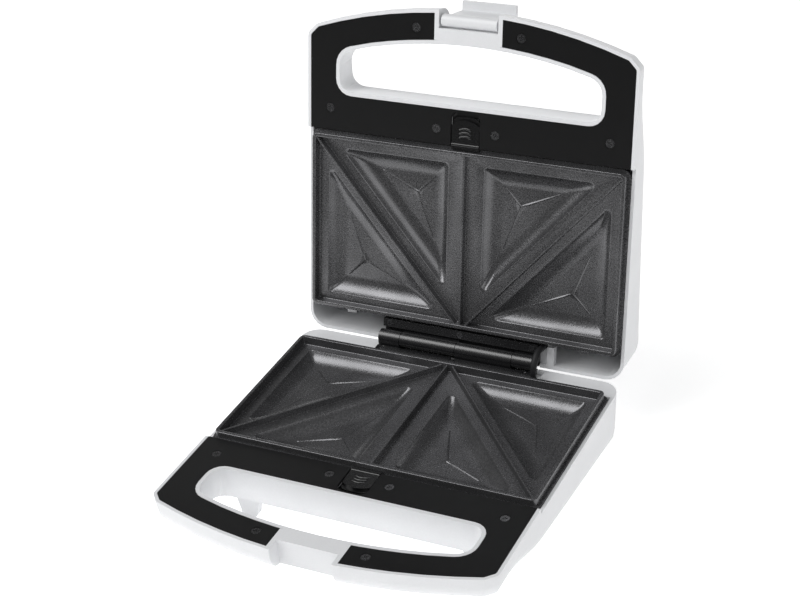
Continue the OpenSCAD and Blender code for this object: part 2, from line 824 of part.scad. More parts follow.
module release_button() {
    front = nose_y + button_l;
    difference() {
        union() {
            intersection() {
                block([-button_w / 2, button_w / 2], [-front, -nose_y], [button_low, button_top]);
                round_bar([0, -front + button_w * button_bow], button_w * button_bow, -deep, over,
                          $fn = 96);
            }
            block([-button_w / 2, button_w / 2], [-well_back, -nose_y], [button_low, button_top]);
            block([-button_w / 2, button_w / 2], [-nose_y - band[1], -nose_y - band[0]],
                  [button_low, button_top + band_h]);
            block([tongue_inset - button_w / 2, button_w / 2 - tongue_inset],
                  [tongue_front_gap - front, -panel_rear - tongue_rear_gap],
                  [channel_floor + button_fit, button_low]);
            for (i = [0:ridge_n - 1]) grip_ridge(-front + ridge_first + i * ridge_pitch);
        }
        block([-well_w, well_w], [-well_front, -well_back], [-deep, well_top]);
    }
}

// Curved finger ridge across the button
module grip_ridge(y) {
    translate([0, y + ridge_r, button_top - ridge_root])
        rotate([0, 0, -90 - ridge_half_angle])
            rotate_extrude(angle = 2 * ridge_half_angle, $fn = 96)
                translate([ridge_r - ridge_t / 2, 0]) square([ridge_t, ridge_h + ridge_root]);
}

module base_release_button() {
    color("#1c1c1e") base_place() release_button();
}

module lid_release_button() {
    color("#1c1c1e") lid_place() release_button();
}

// Coil spring along y between the peg and the button's rear wall
spring_turns = 5;
spring_sides = 6;
spring_steps = 12;
spring_wire = 0.3;
spring_r = 1.25;
spring_gap = 0.1;
spring_z = (channel_floor + well_top) / 2;

function coil_point(i, l) =
    let (a = 360 * i / spring_steps)
        [spring_r * cos(a), l * i / (spring_turns * spring_steps), spring_r * sin(a)];

module release_spring() {
    l = peg_y - well_back - 2 * spring_wire - 2 * spring_gap;
    n = spring_turns * spring_steps;
    points = [for (i = [0:n], j = [0:spring_sides - 1])
        let (p = coil_point(i, l), a = 360 * i / spring_steps, b = 360 * j / spring_sides,
             out = [cos(a), 0, sin(a)])
            p + spring_wire * (cos(b) * out + sin(b) * [0, 1, 0])];
    sides = [for (i = [0:n - 1], j = [0:spring_sides - 1])
        let (a = i * spring_sides + j, b = i * spring_sides + (j + 1) % spring_sides)
            each [[a, b, b + spring_sides], [a, b + spring_sides, a + spring_sides]]];
    first = [for (j = [spring_sides - 1:-1:0]) j];
    end = [for (j = [0:spring_sides - 1]) n * spring_sides + j];
    translate([0, -peg_y + spring_wire + spring_gap, spring_z])
        polyhedron(points = points, faces = concat([first], sides, [end]), convexity = 8);
}

module base_release_spring() {
    color("silver") base_place() release_spring();
}

module lid_release_spring() {
    color("silver") lid_place() release_spring();
}

// Heaters ------------------------------------------------------------------------------------------

element_inset = 14;
element_side_inset = 20;
element_rear_inset = 17.6;
element_x = reflector_w / 2 - element_side_inset;
element_front = reflector_front - element_inset;
element_back = reflector_back + element_rear_inset;
element_bend = 14;
tail_x = 12;
tail_bend = 6;
tail_end = 20;
tail_pin_r = 1;
tail_pin_l = 4;

module bend(at, r, from) {
    translate([at.x, at.y, 0]) rotate([0, 0, from])
        rotate_extrude(angle = 90) translate([r, 0]) circle(r = element_r);
}

module run(a, b, r) {
    d = b - a;
    translate([a.x, a.y, 0]) rotate([0, 0, atan2(d.y, d.x)])
        rotate([0, 90, 0]) cylinder(r = r, h = norm(d));
}

module heating_element() {
    ex = element_x - element_bend;
    translate([0, 0, -element_d]) {
        run([-ex, -element_front], [ex, -element_front], element_r);
        both_ways() {
            bend([ex, -element_front + element_bend], element_bend, 270);
            run([element_x, -element_front + element_bend], [element_x, -element_back - element_bend],
                element_r);
            bend([ex, -element_back - element_bend], element_bend, 0);
            run([tail_x + tail_bend, -element_back], [ex, -element_back], element_r);
            bend([tail_x + tail_bend, -element_back + tail_bend], tail_bend, 180);
            run([tail_x, -element_back + tail_bend], [tail_x, -tail_end], element_r);
            run([tail_x, -tail_end], [tail_x, -tail_end + tail_pin_l], tail_pin_r);
        }
    }
}

module base_heating_element() {
    color("gray") base_place() heating_element();
}

module lid_heating_element() {
    color("gray") lid_place() heating_element();
}

bracket_w = 6;
bracket_l = 11;
bracket_x = 46;
bracket_rise = 0.6;
bracket_fit = 0.06;

module element_brackets() {
    for (x = [-1, 1] * bracket_x, y = [-element_front, -element_back])
        difference() {
            block([x - bracket_w / 2, x + bracket_w / 2], [y - bracket_l / 2, y + bracket_l / 2],
                  [-reflector_d, -element_d + element_r * bracket_rise]);
            translate([x - bracket_w, y, -element_d])
                rotate([0, 90, 0]) cylinder(r = element_r + bracket_fit, h = 2 * bracket_w);
        }
}

module base_element_brackets() {
    color("silver") base_place() element_brackets();
}

module lid_element_brackets() {
    color("silver") lid_place() element_brackets();
}

shank_gap = 0.2;

module reflector() {
    low = -reflector_d - reflector_t;
    rw = reflector_w / 2;
    difference() {
        block([-rw, rw], [-reflector_front, -reflector_back], [low, reflector_wall_top]);
        block([-rw + reflector_t, rw - reflector_t],
              [-reflector_front + reflector_t, -reflector_back - reflector_t], [-reflector_d, over]);
        for (s = [-1, 1])
            translate([s * tail_x, -reflector_back + over, -element_d])
                rotate([90, 0, 0]) cylinder(r = element_r + slide_gap / 3, h = 3 * over);
        for (p = reflector_screw_at) round_bar(p, shank_r + shank_gap, low - over, over);
    }
}

module base_reflector() {
    color("lightgray") base_place() reflector();
}

module lid_reflector() {
    color("lightgray") lid_place() reflector();
}

reflector_screw_l = 8;

module reflector_screws() {
    for (p = reflector_screw_at)
        translate([p.x, p.y, -reflector_d + head_sink])
            screw(shank_r, head_r, reflector_screw_l, head_sink);
}

module base_reflector_screws() {
    color("silver") base_place() reflector_screws();
}

module lid_reflector_screws() {
    color("silver") lid_place() reflector_screws();
}

// Hinge --------------------------------------------------------------------------------------------

leaf_front = 12.3;
leaf_step = 6.4;
leaf_back = 4.2;
web_top = -3.4;
neck_front = 5.3;
neck_back = 2;
neck_root = 0.4;

module knuckle(x1, x2) {
    a = x1 + (x1 > -barrel_w ? knuckle_gap / 2 : 0);
    b = x2 - (x2 < barrel_w ? knuckle_gap / 2 : 0);
    translate([a, 0, hinge_h]) rotate([0, 90, 0]) cylinder(r = barrel_r, h = b - a);
    block([a, b], [-neck_front, neck_back], [web_top - neck_root, hinge_h]);
}

// Leaf with the knuckles between each pair of places across the hinge
module hinge_leaf(pairs) {
    difference() {
        union() {
            block([-barrel_w, barrel_w], [-leaf_front, -leaf_step], [hinge_floor, 0]);
            block([-barrel_w, barrel_w], [-leaf_step - over, leaf_back], [hinge_floor, web_top]);
            difference() {
                union() for (p = pairs) knuckle(p[0], p[1]);
                block([-barrel_w - over, barrel_w + over], [-leaf_front, -neck_front], [-deep, web_top]);
            }
        }
        translate([-barrel_w - over, 0, hinge_h])
            rotate([0, 90, 0]) cylinder(r = pin_r + pin_fit, h = 2 * (barrel_w + over));
        for (x = leaf_screw_x) {
            round_bar([x, leaf_screw_y], leaf_screw_r + shank_gap, hinge_floor - over, over);
            round_bar([x, leaf_screw_y], leaf_screw_head + shank_gap, -head_sink, over);
        }
    }
}
leaf_screw_head = 2.2;
leaf_screw_l = 9;

module base_hinge_leaf() {
    color("#202022") base_place() hinge_leaf([[-barrel_w, -knuckle_x], [0, knuckle_x]]);
}

module lid_hinge_leaf() {
    color("#202022") lid_place() hinge_leaf([[-knuckle_x, 0], [knuckle_x, barrel_w]]);
}

module hinge_screws() {
    for (x = leaf_screw_x)
        translate([x, leaf_screw_y, 0]) screw(leaf_screw_r, leaf_screw_head, leaf_screw_l, head_sink);
}

module base_hinge_screws() {
    color("silver") base_place() hinge_screws();
}

module lid_hinge_screws() {
    color("silver") lid_place() hinge_screws();
}

module hinge_pin() {
    color("silver") base_place()
        translate([-barrel_w, 0, hinge_h]) rotate([0, 90, 0]) cylinder(r = pin_r, h = 2 * barrel_w);
}

// Flexible sleeve that carries the lid's wires round the hinge
sleeve_sides = 12;
sleeve_steps = 12;
sleeve_straight = hinge_h - hinge_floor + hinge_floor_t;

// Centre line of the sleeve as [angle about the hinge axis, distance past the bend's end]
sleeve_path = concat([[180, -sleeve_straight]],
    [for (i = [0:sleeve_steps]) [180 - open_angle * i / sleeve_steps, 0]],
    [[180 - open_angle, sleeve_straight]]);

module wire_sleeve() {
    points = [for (p = sleeve_path, j = [0:sleeve_sides - 1])
        let (
            a = 360 * j / sleeve_sides,
            out = [0, cos(p[0]), sin(p[0])],
            along = [0, sin(p[0]), -cos(p[0])]
        ) sleeve_bend * out + p[1] * along + sleeve_r * (cos(a) * out + sin(a) * [1, 0, 0])];
    n = len(sleeve_path) - 1;
    sides = [for (i = [0:n - 1], j = [0:sleeve_sides - 1])
        let (a = i * sleeve_sides + j, b = i * sleeve_sides + (j + 1) % sleeve_sides)
            each [[a, a + sleeve_sides, b + sleeve_sides], [a, b + sleeve_sides, b]]];
    first = [for (j = [0:sleeve_sides - 1]) j];
    end = [for (j = [sleeve_sides - 1:-1:0]) n * sleeve_sides + j];
    color("#202022") base_place()
        translate([sleeve_x, 0, hinge_h])
            polyhedron(points = points, faces = concat([first], sides, [end]), convexity = 4);
}

// Latch --------------------------------------------------------------------------------------------

latch_end_gap = 1.4;
latch_w = notch_w - latch_end_gap;

module latch_clip() {
    front = -latch_l - latch_back;
    color("white") lid_place()
        difference() {
            union() {
                translate([-latch_w, -latch_l, -latch_d])
                    rotate([0, 90, 0]) cylinder(r = latch_r, h = 2 * latch_w);
                block([-latch_w, latch_w], [front, front + latch_t], [-latch_d - latch_reach, -latch_d]);
                block([-latch_w, latch_w], [front - latch_lip, front + latch_t],
                      [-latch_d - latch_reach, -latch_d - latch_reach + latch_lip_t]);
            }
            translate([-notch_w, -latch_l, -latch_d])
                rotate([0, 90, 0]) cylinder(r = latch_pin_r + pin_fit, h = 2 * notch_w);
        }
}

module latch_pin() {
    color("silver") lid_place()
        translate([-latch_pin_x, -latch_l, -latch_d])
            rotate([0, 90, 0]) cylinder(r = latch_pin_r, h = 2 * latch_pin_x);
}

// Lamps --------------------------------------------------------------------------------------------

module lamp_lens(x) {
    round_bar([x, lamp_y], lens_r - lens_fit, -depth(lamp_y) - lens_proud, lens_seat + lens_flange);
    round_bar([x, lamp_y], lens_r + lens_lip, lens_seat, lens_seat + lens_flange);
}

module power_lamp_lens() {
    color("crimson") lid_place() lamp_lens(-lamp_x);
}

module ready_lamp_lens() {
    color("limegreen") lid_place() lamp_lens(lamp_x);
}

module indicator_lamps() {
    color("orange") lid_place()
        for (s = [-1, 1])
            round_bar([s * lamp_x, lamp_y], lamp_r, lens_seat + lens_flange,
                      lens_seat + lens_flange + lamp_l);
}

// Electrics ----------------------------------------------------------------------------------------

thermostat_r = 9;
thermostat_h = 7;
thermostat_y = plate_mid;
tab_x = 5;
tab_w = 4;
tab_t = 0.8;
tab_l = 3;

module thermostat() {
    low = -reflector_d - reflector_t;
    color("ivory") lid_place() {
        round_bar([0, thermostat_y], thermostat_r, low - thermostat_h, low);
        for (s = [-1, 1])
            block([s * tab_x - tab_w / 2, s * tab_x + tab_w / 2],
                  [thermostat_y - tab_t / 2, thermostat_y + tab_t / 2],
                  [low - thermostat_h - tab_l, low - thermostat_h]);
    }
}

// Bores of the terminal block, one for each wire
terminal_x = [for (i = [1:3]) -block_x - block_w * i / 4];
terminal_r = 1.6;

module terminal_block() {
    color("ivory") base_place()
        difference() {
            block([-block_x - block_w, -block_x], [-block_y - block_t, -block_y],
                  [block_low, block_low + block_h]);
            for (x = terminal_x)
                translate([x, -block_y + over, block_low + block_h / 2])
                    rotate([90, 0, 0]) cylinder(r = terminal_r, h = block_t + 2 * over, $fn = 24);
        }
}

wire_r = 1.1;
wire_bend = 1.1;
wire_y = -tail_end + tail_pin_l + wire_r;
fuse_x = [-40, -28];
fuse_r = 2.2;

module thermal_fuse() {
    color("gold") base_place()
        translate([fuse_x[0], wire_y, -element_d])
            rotate([0, 90, 0]) cylinder(r = fuse_r, h = fuse_x[1] - fuse_x[0]);
}

// Insulated wire through its points, which lie square to each other
module wire(points) {
    for (i = [0:len(points) - 2]) {
        d = points[i + 1] - points[i];
        translate(points[i])
            rotate([0, acos(d.z / norm(d)), atan2(d.y, d.x)]) cylinder(r = wire_r, h = norm(d), $fn = 16);
    }
    if (len(points) > 2)
        for (i = [1:len(points) - 2]) translate(points[i]) sphere(r = wire_r * wire_bend, $fn = 16);
}

sleeve_end = hinge_floor - hinge_floor_t;

module base_wiring() {
    z = block_low + block_h / 2;
    low_y = -10;
    high_y = -18;
    high_z = -11.5;
    color("firebrick") base_place() {
        wire([[-tail_x + tail_pin_r, wire_y, -element_d], [fuse_x[1], wire_y, -element_d]]);
        wire([[fuse_x[0], wire_y, -element_d], [terminal_x[0], wire_y, -element_d],
              [terminal_x[0], wire_y, z], [terminal_x[0], -block_y, z]]);
        wire([[tail_x, wire_y, -element_d], [tail_x, low_y, -element_d], [tail_x, low_y, z],
              [terminal_x[1], low_y, z], [terminal_x[1], -block_y, z]]);
        wire([[terminal_x[2], -block_y, z], [terminal_x[2], high_y, z], [terminal_x[2], high_y, high_z],
              [sleeve_x, high_y, high_z], [sleeve_x, -sleeve_bend, high_z],
              [sleeve_x, -sleeve_bend, sleeve_end]]);
    }
}

module lid_wiring() {
    tab_z = -reflector_d - reflector_t - thermostat_h - tab_l / 2;
    lamp_top = lens_seat + lens_flange + lamp_l + wire_r;
    color("firebrick") lid_place() {
        wire([[-tail_x, wire_y, -element_d], [-tail_x, wire_y, tab_z], [-tail_x, thermostat_y, tab_z],
              [-tab_x - tab_w / 2, thermostat_y, tab_z]]);
        wire([[tail_x, wire_y, -element_d], [tail_x, -sleeve_bend, -element_d],
              [sleeve_x, -sleeve_bend, -element_d], [sleeve_x, -sleeve_bend, sleeve_end]]);
        wire([[-lamp_x, lamp_y, lamp_top], [lamp_x, lamp_y, lamp_top]]);
    }
}

base_shell();
base_cover_panel();
base_cooking_plate();
base_plate_hooks();
base_release_button();
base_release_spring();
base_heating_element();
base_element_brackets();
base_reflector();
base_reflector_screws();
base_hinge_leaf();
hinge_pin();
base_panel_screws();
base_hinge_screws();
rear_foot_pads();
thermal_fuse();
terminal_block();
base_wiring();
lid_shell();
lid_cover_panel();
lid_cooking_plate();
lid_plate_hooks();
lid_release_button();
lid_release_spring();
lid_heating_element();
lid_element_brackets();
lid_reflector();
lid_reflector_screws();
lid_hinge_leaf();
lid_panel_screws();
lid_hinge_screws();
thermostat();
lid_wiring();
power_lamp_lens();
ready_lamp_lens();
indicator_lamps();
latch_clip();
latch_pin();
wire_sleeve();
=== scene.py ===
"""Finishes and fine shapes of the open sandwich toaster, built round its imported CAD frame."""

import math

import bmesh
import bpy
from mathutils import Matrix, Vector
from mathutils.geometry import delaunay_2d_cdt


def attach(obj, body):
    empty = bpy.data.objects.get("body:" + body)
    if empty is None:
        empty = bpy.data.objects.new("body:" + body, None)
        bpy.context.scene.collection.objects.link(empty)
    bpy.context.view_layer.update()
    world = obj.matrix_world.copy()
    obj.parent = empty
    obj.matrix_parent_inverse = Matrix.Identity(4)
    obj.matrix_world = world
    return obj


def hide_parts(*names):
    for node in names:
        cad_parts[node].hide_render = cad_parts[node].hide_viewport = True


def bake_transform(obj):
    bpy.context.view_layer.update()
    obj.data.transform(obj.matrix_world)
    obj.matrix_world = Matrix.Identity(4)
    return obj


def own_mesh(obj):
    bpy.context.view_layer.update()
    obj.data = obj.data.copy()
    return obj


bl_info = {
    "name": "Sandwich toaster",
    "version": (1, 0, 0),
    "blender": (4, 5, 0),
    "location": "View3D > Sidebar > Toaster",
    "description": "Fine shapes and finishes of a hinged sandwich toaster",
    "category": "Object",
}

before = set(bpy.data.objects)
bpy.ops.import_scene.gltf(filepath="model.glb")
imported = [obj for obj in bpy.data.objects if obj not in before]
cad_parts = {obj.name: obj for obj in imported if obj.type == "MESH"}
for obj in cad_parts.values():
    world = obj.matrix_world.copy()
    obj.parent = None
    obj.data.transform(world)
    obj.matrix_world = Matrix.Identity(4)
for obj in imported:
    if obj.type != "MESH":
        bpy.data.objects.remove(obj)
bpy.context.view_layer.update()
MM = 0.001
# Edges sharper than this many degrees stay sharp in the shading
SHARP = 35


# Half frame ---------------------------------------------------------------------------------------
# Both halves are drawn in millimetres in a half frame: x across, y from the hinge axis (0) to the
# front (negative), z = 0 on the cover panel's face and negative towards the outside.

ORIGIN_Y = 70.17597
PANEL_Z = 45.0
HINGE_H = 3.2
OPEN_ANGLE = 102.97

BASE = Matrix.Scale(MM, 4) @ Matrix.Translation((0, ORIGIN_Y, PANEL_Z))
LID = (
    Matrix.Scale(MM, 4)
    @ Matrix.Translation((0, ORIGIN_Y, PANEL_Z + HINGE_H))
    @ Matrix.Rotation(math.radians(-OPEN_ANGLE), 4, "X")
    @ Matrix.Scale(-1, 4, (0, 0, 1))
    @ Matrix.Translation((0, 0, -HINGE_H))
)
HALVES = {"base": BASE, "lid": LID}


# Outlines -----------------------------------------------------------------------------------------


def rounded(corners, grow=0.0, steps=10, least=0.4):
    """Outline through corners (x, y, radius), counter-clockwise, moved outwards by grow. A round corner
    keeps at least the radius least, and one of radius 0 stays sharp."""
    n = len(corners)
    flat = [Vector(c[:2]) for c in corners]
    moved = []
    for i in range(n):
        a, p, b = flat[i - 1], flat[i], flat[(i + 1) % n]
        u, w = (p - a).normalized(), (b - p).normalized()
        nu, nw = Vector((u.y, -u.x)), Vector((w.y, -w.x))
        moved.append(p + grow * (nu + nw) / (1 + nu.dot(nw)))
    out = []
    for i in range(n):
        a, p, b = moved[i - 1], moved[i], moved[(i + 1) % n]
        r = corners[i][2]
        if r == 0:
            out.append(p)
            continue
        r = max(r + grow, least)
        u, w = (a - p).normalized(), (b - p).normalized()
        half = math.acos(max(-1, min(1, u.dot(w)))) / 2
        c = p + (u + w).normalized() * r / math.sin(half)
        start = p + u * r / math.tan(half) - c
        first, turn = math.atan2(start.y, start.x), math.pi - 2 * half
        out += [
            c + r * Vector((math.cos(first + turn * k / steps), math.sin(first + turn * k / steps)))
            for k in range(steps + 1)
        ]
    return out


# Mesh building ------------------------------------------------------------------------------------

# Points of a triangulation merge within this distance, in mm
MERGE = 1e-4
# Corners of a CAD mesh weld within this distance, in metres, and its faces count as flat within this angle
WELD, FLAT = 2e-6, math.radians(0.6)
BEVEL_SEGMENTS = 2


def triangulate(points, edges, keep):
    """Triangulates points (x, y) along edges and keeps the triangles whose centre passes keep."""
    all_triangles, need_ids = 0, False
    verts, _, faces, _, _, _ = delaunay_2d_cdt(points, edges, [], all_triangles, MERGE, need_ids)
    kept = []
    for f in faces:
        centre = sum((verts[i] for i in f), Vector((0, 0))) / len(f)
        if keep(centre):
            kept.append(list(f))
    return verts, kept


def inside(p, loop):
    """Whether p lies inside a closed loop of points."""
    hit = False
    for i, b in enumerate(loop):
        a = loop[i - 1]
        if (a.y > p.y) != (b.y > p.y) and p.x < (b.x - a.x) * (p.y - a.y) / (b.y - a.y) + a.x:
            hit = not hit
    return hit


def terrain(bm, outer, holes, lines, height, low):
    """Solid between height(x, y) and low(x, y). Lines are the (points, closed) that its faces follow."""
    points, edges = [], []
    for line, closed in [(outer, True)] + [(h, True) for h in holes] + lines:
        first = len(points)
        points += line
        count = len(line)
        edges += [(first + k, first + (k + 1) % count) for k in range(count if closed else count - 1)]

    def keep(c):
        return inside(c, outer) and not any(inside(c, h) for h in holes)

    verts, faces = triangulate(points, edges, keep)
    used = sorted({i for f in faces for i in f})
    top = {i: bm.verts.new((verts[i].x, verts[i].y, height(verts[i].x, verts[i].y))) for i in used}
    bottom = {i: bm.verts.new((verts[i].x, verts[i].y, low(verts[i].x, verts[i].y))) for i in used}
    around = []
    for f in faces:
        area = sum(
            verts[f[k - 1]].x * verts[f[k]].y - verts[f[k]].x * verts[f[k - 1]].y for k in range(len(f))
        )
        ring = f if area > 0 else f[::-1]
        bm.faces.new([top[i] for i in ring])
        bm.faces.new([bottom[i] for i in reversed(ring)])
        around += [(ring[k], ring[(k + 1) % len(ring)]) for k in range(len(ring))]
    walked = set(around)
    for a, b in around:
        if (b, a) not in walked:
            bm.faces.new([top[b], top[a], bottom[a], bottom[b]])


def piece(name, bm, matrix, body, material, slot, *nodes, sharp=SHARP, weighted=True):
    """Turns bm, moved by matrix into metres, into a piece that rides on a body and stands for CAD nodes. A
    piece with no body is left with no parent."""
    bmesh.ops.transform(bm, matrix=matrix, verts=bm.verts)
    if matrix.determinant() < 0:
        bmesh.ops.reverse_faces(bm, faces=bm.faces)
    mesh = bpy.data.meshes.new(name)
    bm.to_mesh(mesh)
    bm.free()
    mesh.shade_smooth()
    mesh.set_sharp_from_angle(angle=math.radians(sharp))
    obj = bpy.data.objects.new(name, mesh)
    bpy.context.scene.collection.objects.link(obj)
    mesh.materials.append(material)
    if weighted:
        modifier = obj.modifiers.new("Flat faces stay flat", "WEIGHTED_NORMAL")
        modifier.keep_sharp = True
    if body:
        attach(obj, body)
    if nodes:
        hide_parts(*nodes)
    return obj


def eased_copy(node, radius, angle=50, shortest=1.2):
    """Copy of a CAD node's mesh with flat faces merged. Edges sharper than angle degrees and longer than
    shortest mm are rounded to a radius in metres."""
    bm = bmesh.new()
    bm.from_mesh(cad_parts[node].data)
    bmesh.ops.remove_doubles(bm, verts=bm.verts, dist=WELD)
    bmesh.ops.dissolve_limit(
        bm, angle_limit=FLAT, verts=bm.verts, edges=bm.edges, use_dissolve_boundaries=False
    )
    if radius > 0:
        picked = [
            e
            for e in bm.edges
            if e.is_manifold
            and e.calc_face_angle(0) > math.radians(angle)
            and e.calc_length() > shortest * MM
        ]
        bmesh.ops.bevel(
            bm, geom=picked, offset=radius, segments=BEVEL_SEGMENTS, profile=0.5, affect="EDGES",
            clamp_overlap=True, offset_type="OFFSET",
        )
    return bm


def compacted(bm):
    """Moves a mesh into a new bmesh, without the gaps that removed faces left. Faces added to one with gaps
    fill them in an order that differs from run to run."""
    mesh = bpy.data.meshes.new("compacted")
    bm.to_mesh(mesh)
    bm.free()
    bm = bmesh.new()
    bm.from_mesh(mesh)
    bpy.data.meshes.remove(mesh)
    return bm


# Materials ----------------------------------------------------------------------------------------

# The shader's own value, which every metal keeps
DEFAULT_IOR = 1.5


def srgb(text):
    """Linear colour of an sRGB hex value."""
    parts = [int(text[i : i + 2], 16) / 255 for i in (1, 3, 5)]
    return tuple(p / 12.92 if p <= 0.04045 else ((p + 0.055) / 1.055) ** 2.4 for p in parts) + (1.0,)


def add(tree, kind, settings=None, **links):
    """Adds a node, sets its settings (a property, or an input's value by name or number) and links its
    inputs: From_Min is the input "From Min", and i0 is the input number 0."""
    node = tree.nodes.new("ShaderNode" + kind)
    for key, value in (settings or {}).items():
        if isinstance(key, int) or key in node.inputs:
            node.inputs[key].default_value = value
        else:
            setattr(node, key, value)
    for key, socket in links.items():
        name = int(key[1:]) if key[0] == "i" and key[1:].isdigit() else key.replace("_", " ")
        tree.links.new(socket, node.inputs[name])
    return node


def material(name, base, roughness, ior=DEFAULT_IOR, metallic=0.0, **more):
    """New material with a Principled shader; returns it with its node tree and shader."""
    m = bpy.data.materials.new(name)
    m.use_nodes = True
    shader = m.node_tree.nodes["Principled BSDF"]
    shader.inputs["Base Color"].default_value = tuple(base)
    shader.inputs["Roughness"].default_value = roughness
    shader.inputs["IOR"].default_value = ior
    shader.inputs["Metallic"].default_value = metallic
    for key, value in more.items():
        shader.inputs[key.replace("_", " ")].default_value = value
    m.diffuse_color = tuple(base)
    return m, m.node_tree, shader


def per_mm(size):
    """Texture scale for a pattern whose features are size millimetres apart."""
    return 1000.0 / size


def darker(colour, share):
    """The colour at a share of its linear strength."""
    return tuple(c * share for c in colour[:3]) + (1.0,)


def grained(name, base, depth, roughness, spread, grain, bump, blotch=18.0, ior=DEFAULT_IOR,
            metallic=0.0, **more):
    """Material with a grain of the given size in mm: in colour by depth, in roughness by spread and in
    height by bump mm. Blotches of a wider size in mm lie over the colour."""
    m, tree, shader = material(name, base, roughness, ior, metallic, **more)
    place = add(tree, "TexCoord").outputs["Object"]
    fine = add(tree, "TexNoise", {"Scale": per_mm(grain), "Detail": 3.0, "Roughness": 0.6}, Vector=place)
    wide = add(tree, "TexNoise", {"Scale": per_mm(blotch), "Detail": 2.0}, Vector=place)
    both = add(tree, "Math", {"operation": "MULTIPLY"}, i0=fine.outputs["Fac"], i1=wide.outputs["Fac"])
    share = add(tree, "MapRange", {"From Min": 0.1, "From Max": 0.45}, Value=both.outputs[0])
    colour = add(tree, "Mix", {"data_type": "RGBA", 6: darker(base, 1 - depth), 7: tuple(base)},
                 i0=share.outputs[0])
    tree.links.new(colour.outputs[2], shader.inputs["Base Color"])
    rough = add(
        tree, "MapRange",
        {"From Min": 0.3, "From Max": 0.7, "To Min": roughness - spread, "To Max": roughness + spread},
        Value=fine.outputs["Fac"],
    )
    tree.links.new(rough.outputs[0], shader.inputs["Roughness"])
    relief = add(tree, "Bump", {"Strength": 1.0, "Distance": bump * MM}, Height=fine.outputs["Fac"])
    tree.links.new(relief.outputs[0], shader.inputs["Normal"])
    return m


def make_materials(colours):
    """Every finish of the toaster, by a short key."""
    made = {}
    # Polypropylene, injection moulded in a satin mould: white with a soft, wide gloss
    made["white"] = grained(
        "moulded_white_polypropylene", colours.shell,
        depth=0.05, roughness=0.36, spread=0.04, grain=1.4, bump=0.004, ior=1.49,
    )
    # Phenolic plastic, compression moulded: near-black, with a faint spark-eroded grain
    made["black"] = grained(
        "moulded_black_phenolic", colours.cover,
        depth=0.2, roughness=0.34, spread=0.05, grain=0.8, bump=0.004, ior=1.43,
    )
    # The same phenolic in a polished mould: the buttons, whose ridges catch the light
    made["button"] = grained(
        "moulded_polished_black_phenolic", colours.cover,
        depth=0.2, roughness=0.22, spread=0.04, grain=0.8, bump=0.002, ior=1.62,
    )
    # Glass-filled polyphenylene sulphide, injection moulded: black, with a strong satin gloss on the barrel
    made["hinge"] = grained(
        "moulded_black_sulphide_plastic", colours.hinge,
        depth=0.2, roughness=0.27, spread=0.07, grain=0.9, bump=0.008, ior=1.7,
    )
    # PTFE filled with metal flakes, sprayed on die-cast aluminium and cured: dark grey, with a broad
    # metallic sheen. Its pebbles lie 0.5 mm apart and are drawn 1.2 mm apart, so that they show
    made["plate"] = grained(
        "sprayed_flake_ptfe_on_cast_aluminium", colours.plate,
        depth=0.4, roughness=0.27, spread=0.07, grain=1.2, bump=0.08, blotch=30.0, ior=1.4, metallic=0.75,
    )
    # Steel, pressed and zinc plated: bright grey with fine rolling marks
    made["zinc"] = grained(
        "pressed_zinc_plated_steel", srgb("#C9CACC"),
        depth=0.3, roughness=0.3, spread=0.08, grain=0.6, bump=0.003, metallic=1.0,
    )
    # Steel, cold headed and thinly blackened: a low grey sheen, which is dim in the covers' recesses
    made["screw"] = grained(
        "cold_headed_black_steel", srgb("#8A8A8C"),
        depth=0.4, roughness=0.25, spread=0.06, grain=0.4, bump=0.003, metallic=1.0,
    )
    # Aluminised steel sheet, folded: pale and mirror-like, to throw the heat back
    made["reflector"] = grained(
        "folded_aluminised_steel", srgb("#C2C4C6"),
        depth=0.3, roughness=0.22, spread=0.06, grain=2.2, bump=0.002, metallic=1.0,
    )
    # Stainless tube, drawn and tinted by heat: brown-grey
    made["element"] = grained(
        "heat_tinted_stainless_tube", srgb("#8C857C"),
        depth=0.4, roughness=0.4, spread=0.08, grain=1.2, bump=0.004, metallic=1.0,
    )
    # Nitrile rubber, moulded: matt charcoal
    made["rubber"] = grained(
        "moulded_nitrile_rubber", srgb("#2B2B2C"),
        depth=0.4, roughness=0.72, spread=0.06, grain=0.5, bump=0.02, ior=1.52,
    )
    # Glass braid, woven and coated with silicone: black and matt
    made["sleeve"] = grained(
        "silicone_coated_glass_braid", srgb("#202022"),
        depth=0.4, roughness=0.6, spread=0.08, grain=0.7, bump=0.03, ior=1.43,
    )
    # Silicone rubber, extruded round the wires: satin off-white
    made["wire"] = grained(
        "extruded_white_silicone", srgb("#DEDCD6"),
        depth=0.15, roughness=0.5, spread=0.05, grain=1.0, bump=0.003, ior=1.43,
    )
    # Steatite, pressed and fired: chalky white
    made["ceramic"] = grained(
        "fired_steatite_ceramic", srgb("#E6E1D4"),
        depth=0.15, roughness=0.62, spread=0.06, grain=0.9, bump=0.01, ior=1.6,
    )
    # Polycarbonate, moulded in colour: clear and glossy
    for key, base in (("red", colours.power_lens), ("green", colours.ready_lens)):
        made[key] = grained(
            "moulded_%s_polycarbonate" % key, base,
            depth=0.3, roughness=0.16, spread=0.03, grain=1.5, bump=0.002, ior=1.58,
            Transmission_Weight=0.35,
        )
    # Soda-lime glass, blown round the neon lamps: clear
    made["glass"] = grained(
        "blown_soda_lime_glass", srgb("#E8EEF0"),
        depth=0.05, roughness=0.08, spread=0.02, grain=3.0, bump=0.001, ior=1.52, Transmission_Weight=0.9,
    )
    return made


MATERIALS = {}


def paint(material_key, *nodes):
    """Gives CAD nodes that stay as they are a finish."""
    for node in nodes:
        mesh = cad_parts[node].data
        mesh.materials.clear()
        mesh.materials.append(MATERIALS[material_key])
        mesh.shade_smooth()
        mesh.set_sharp_from_angle(angle=math.radians(SHARP))


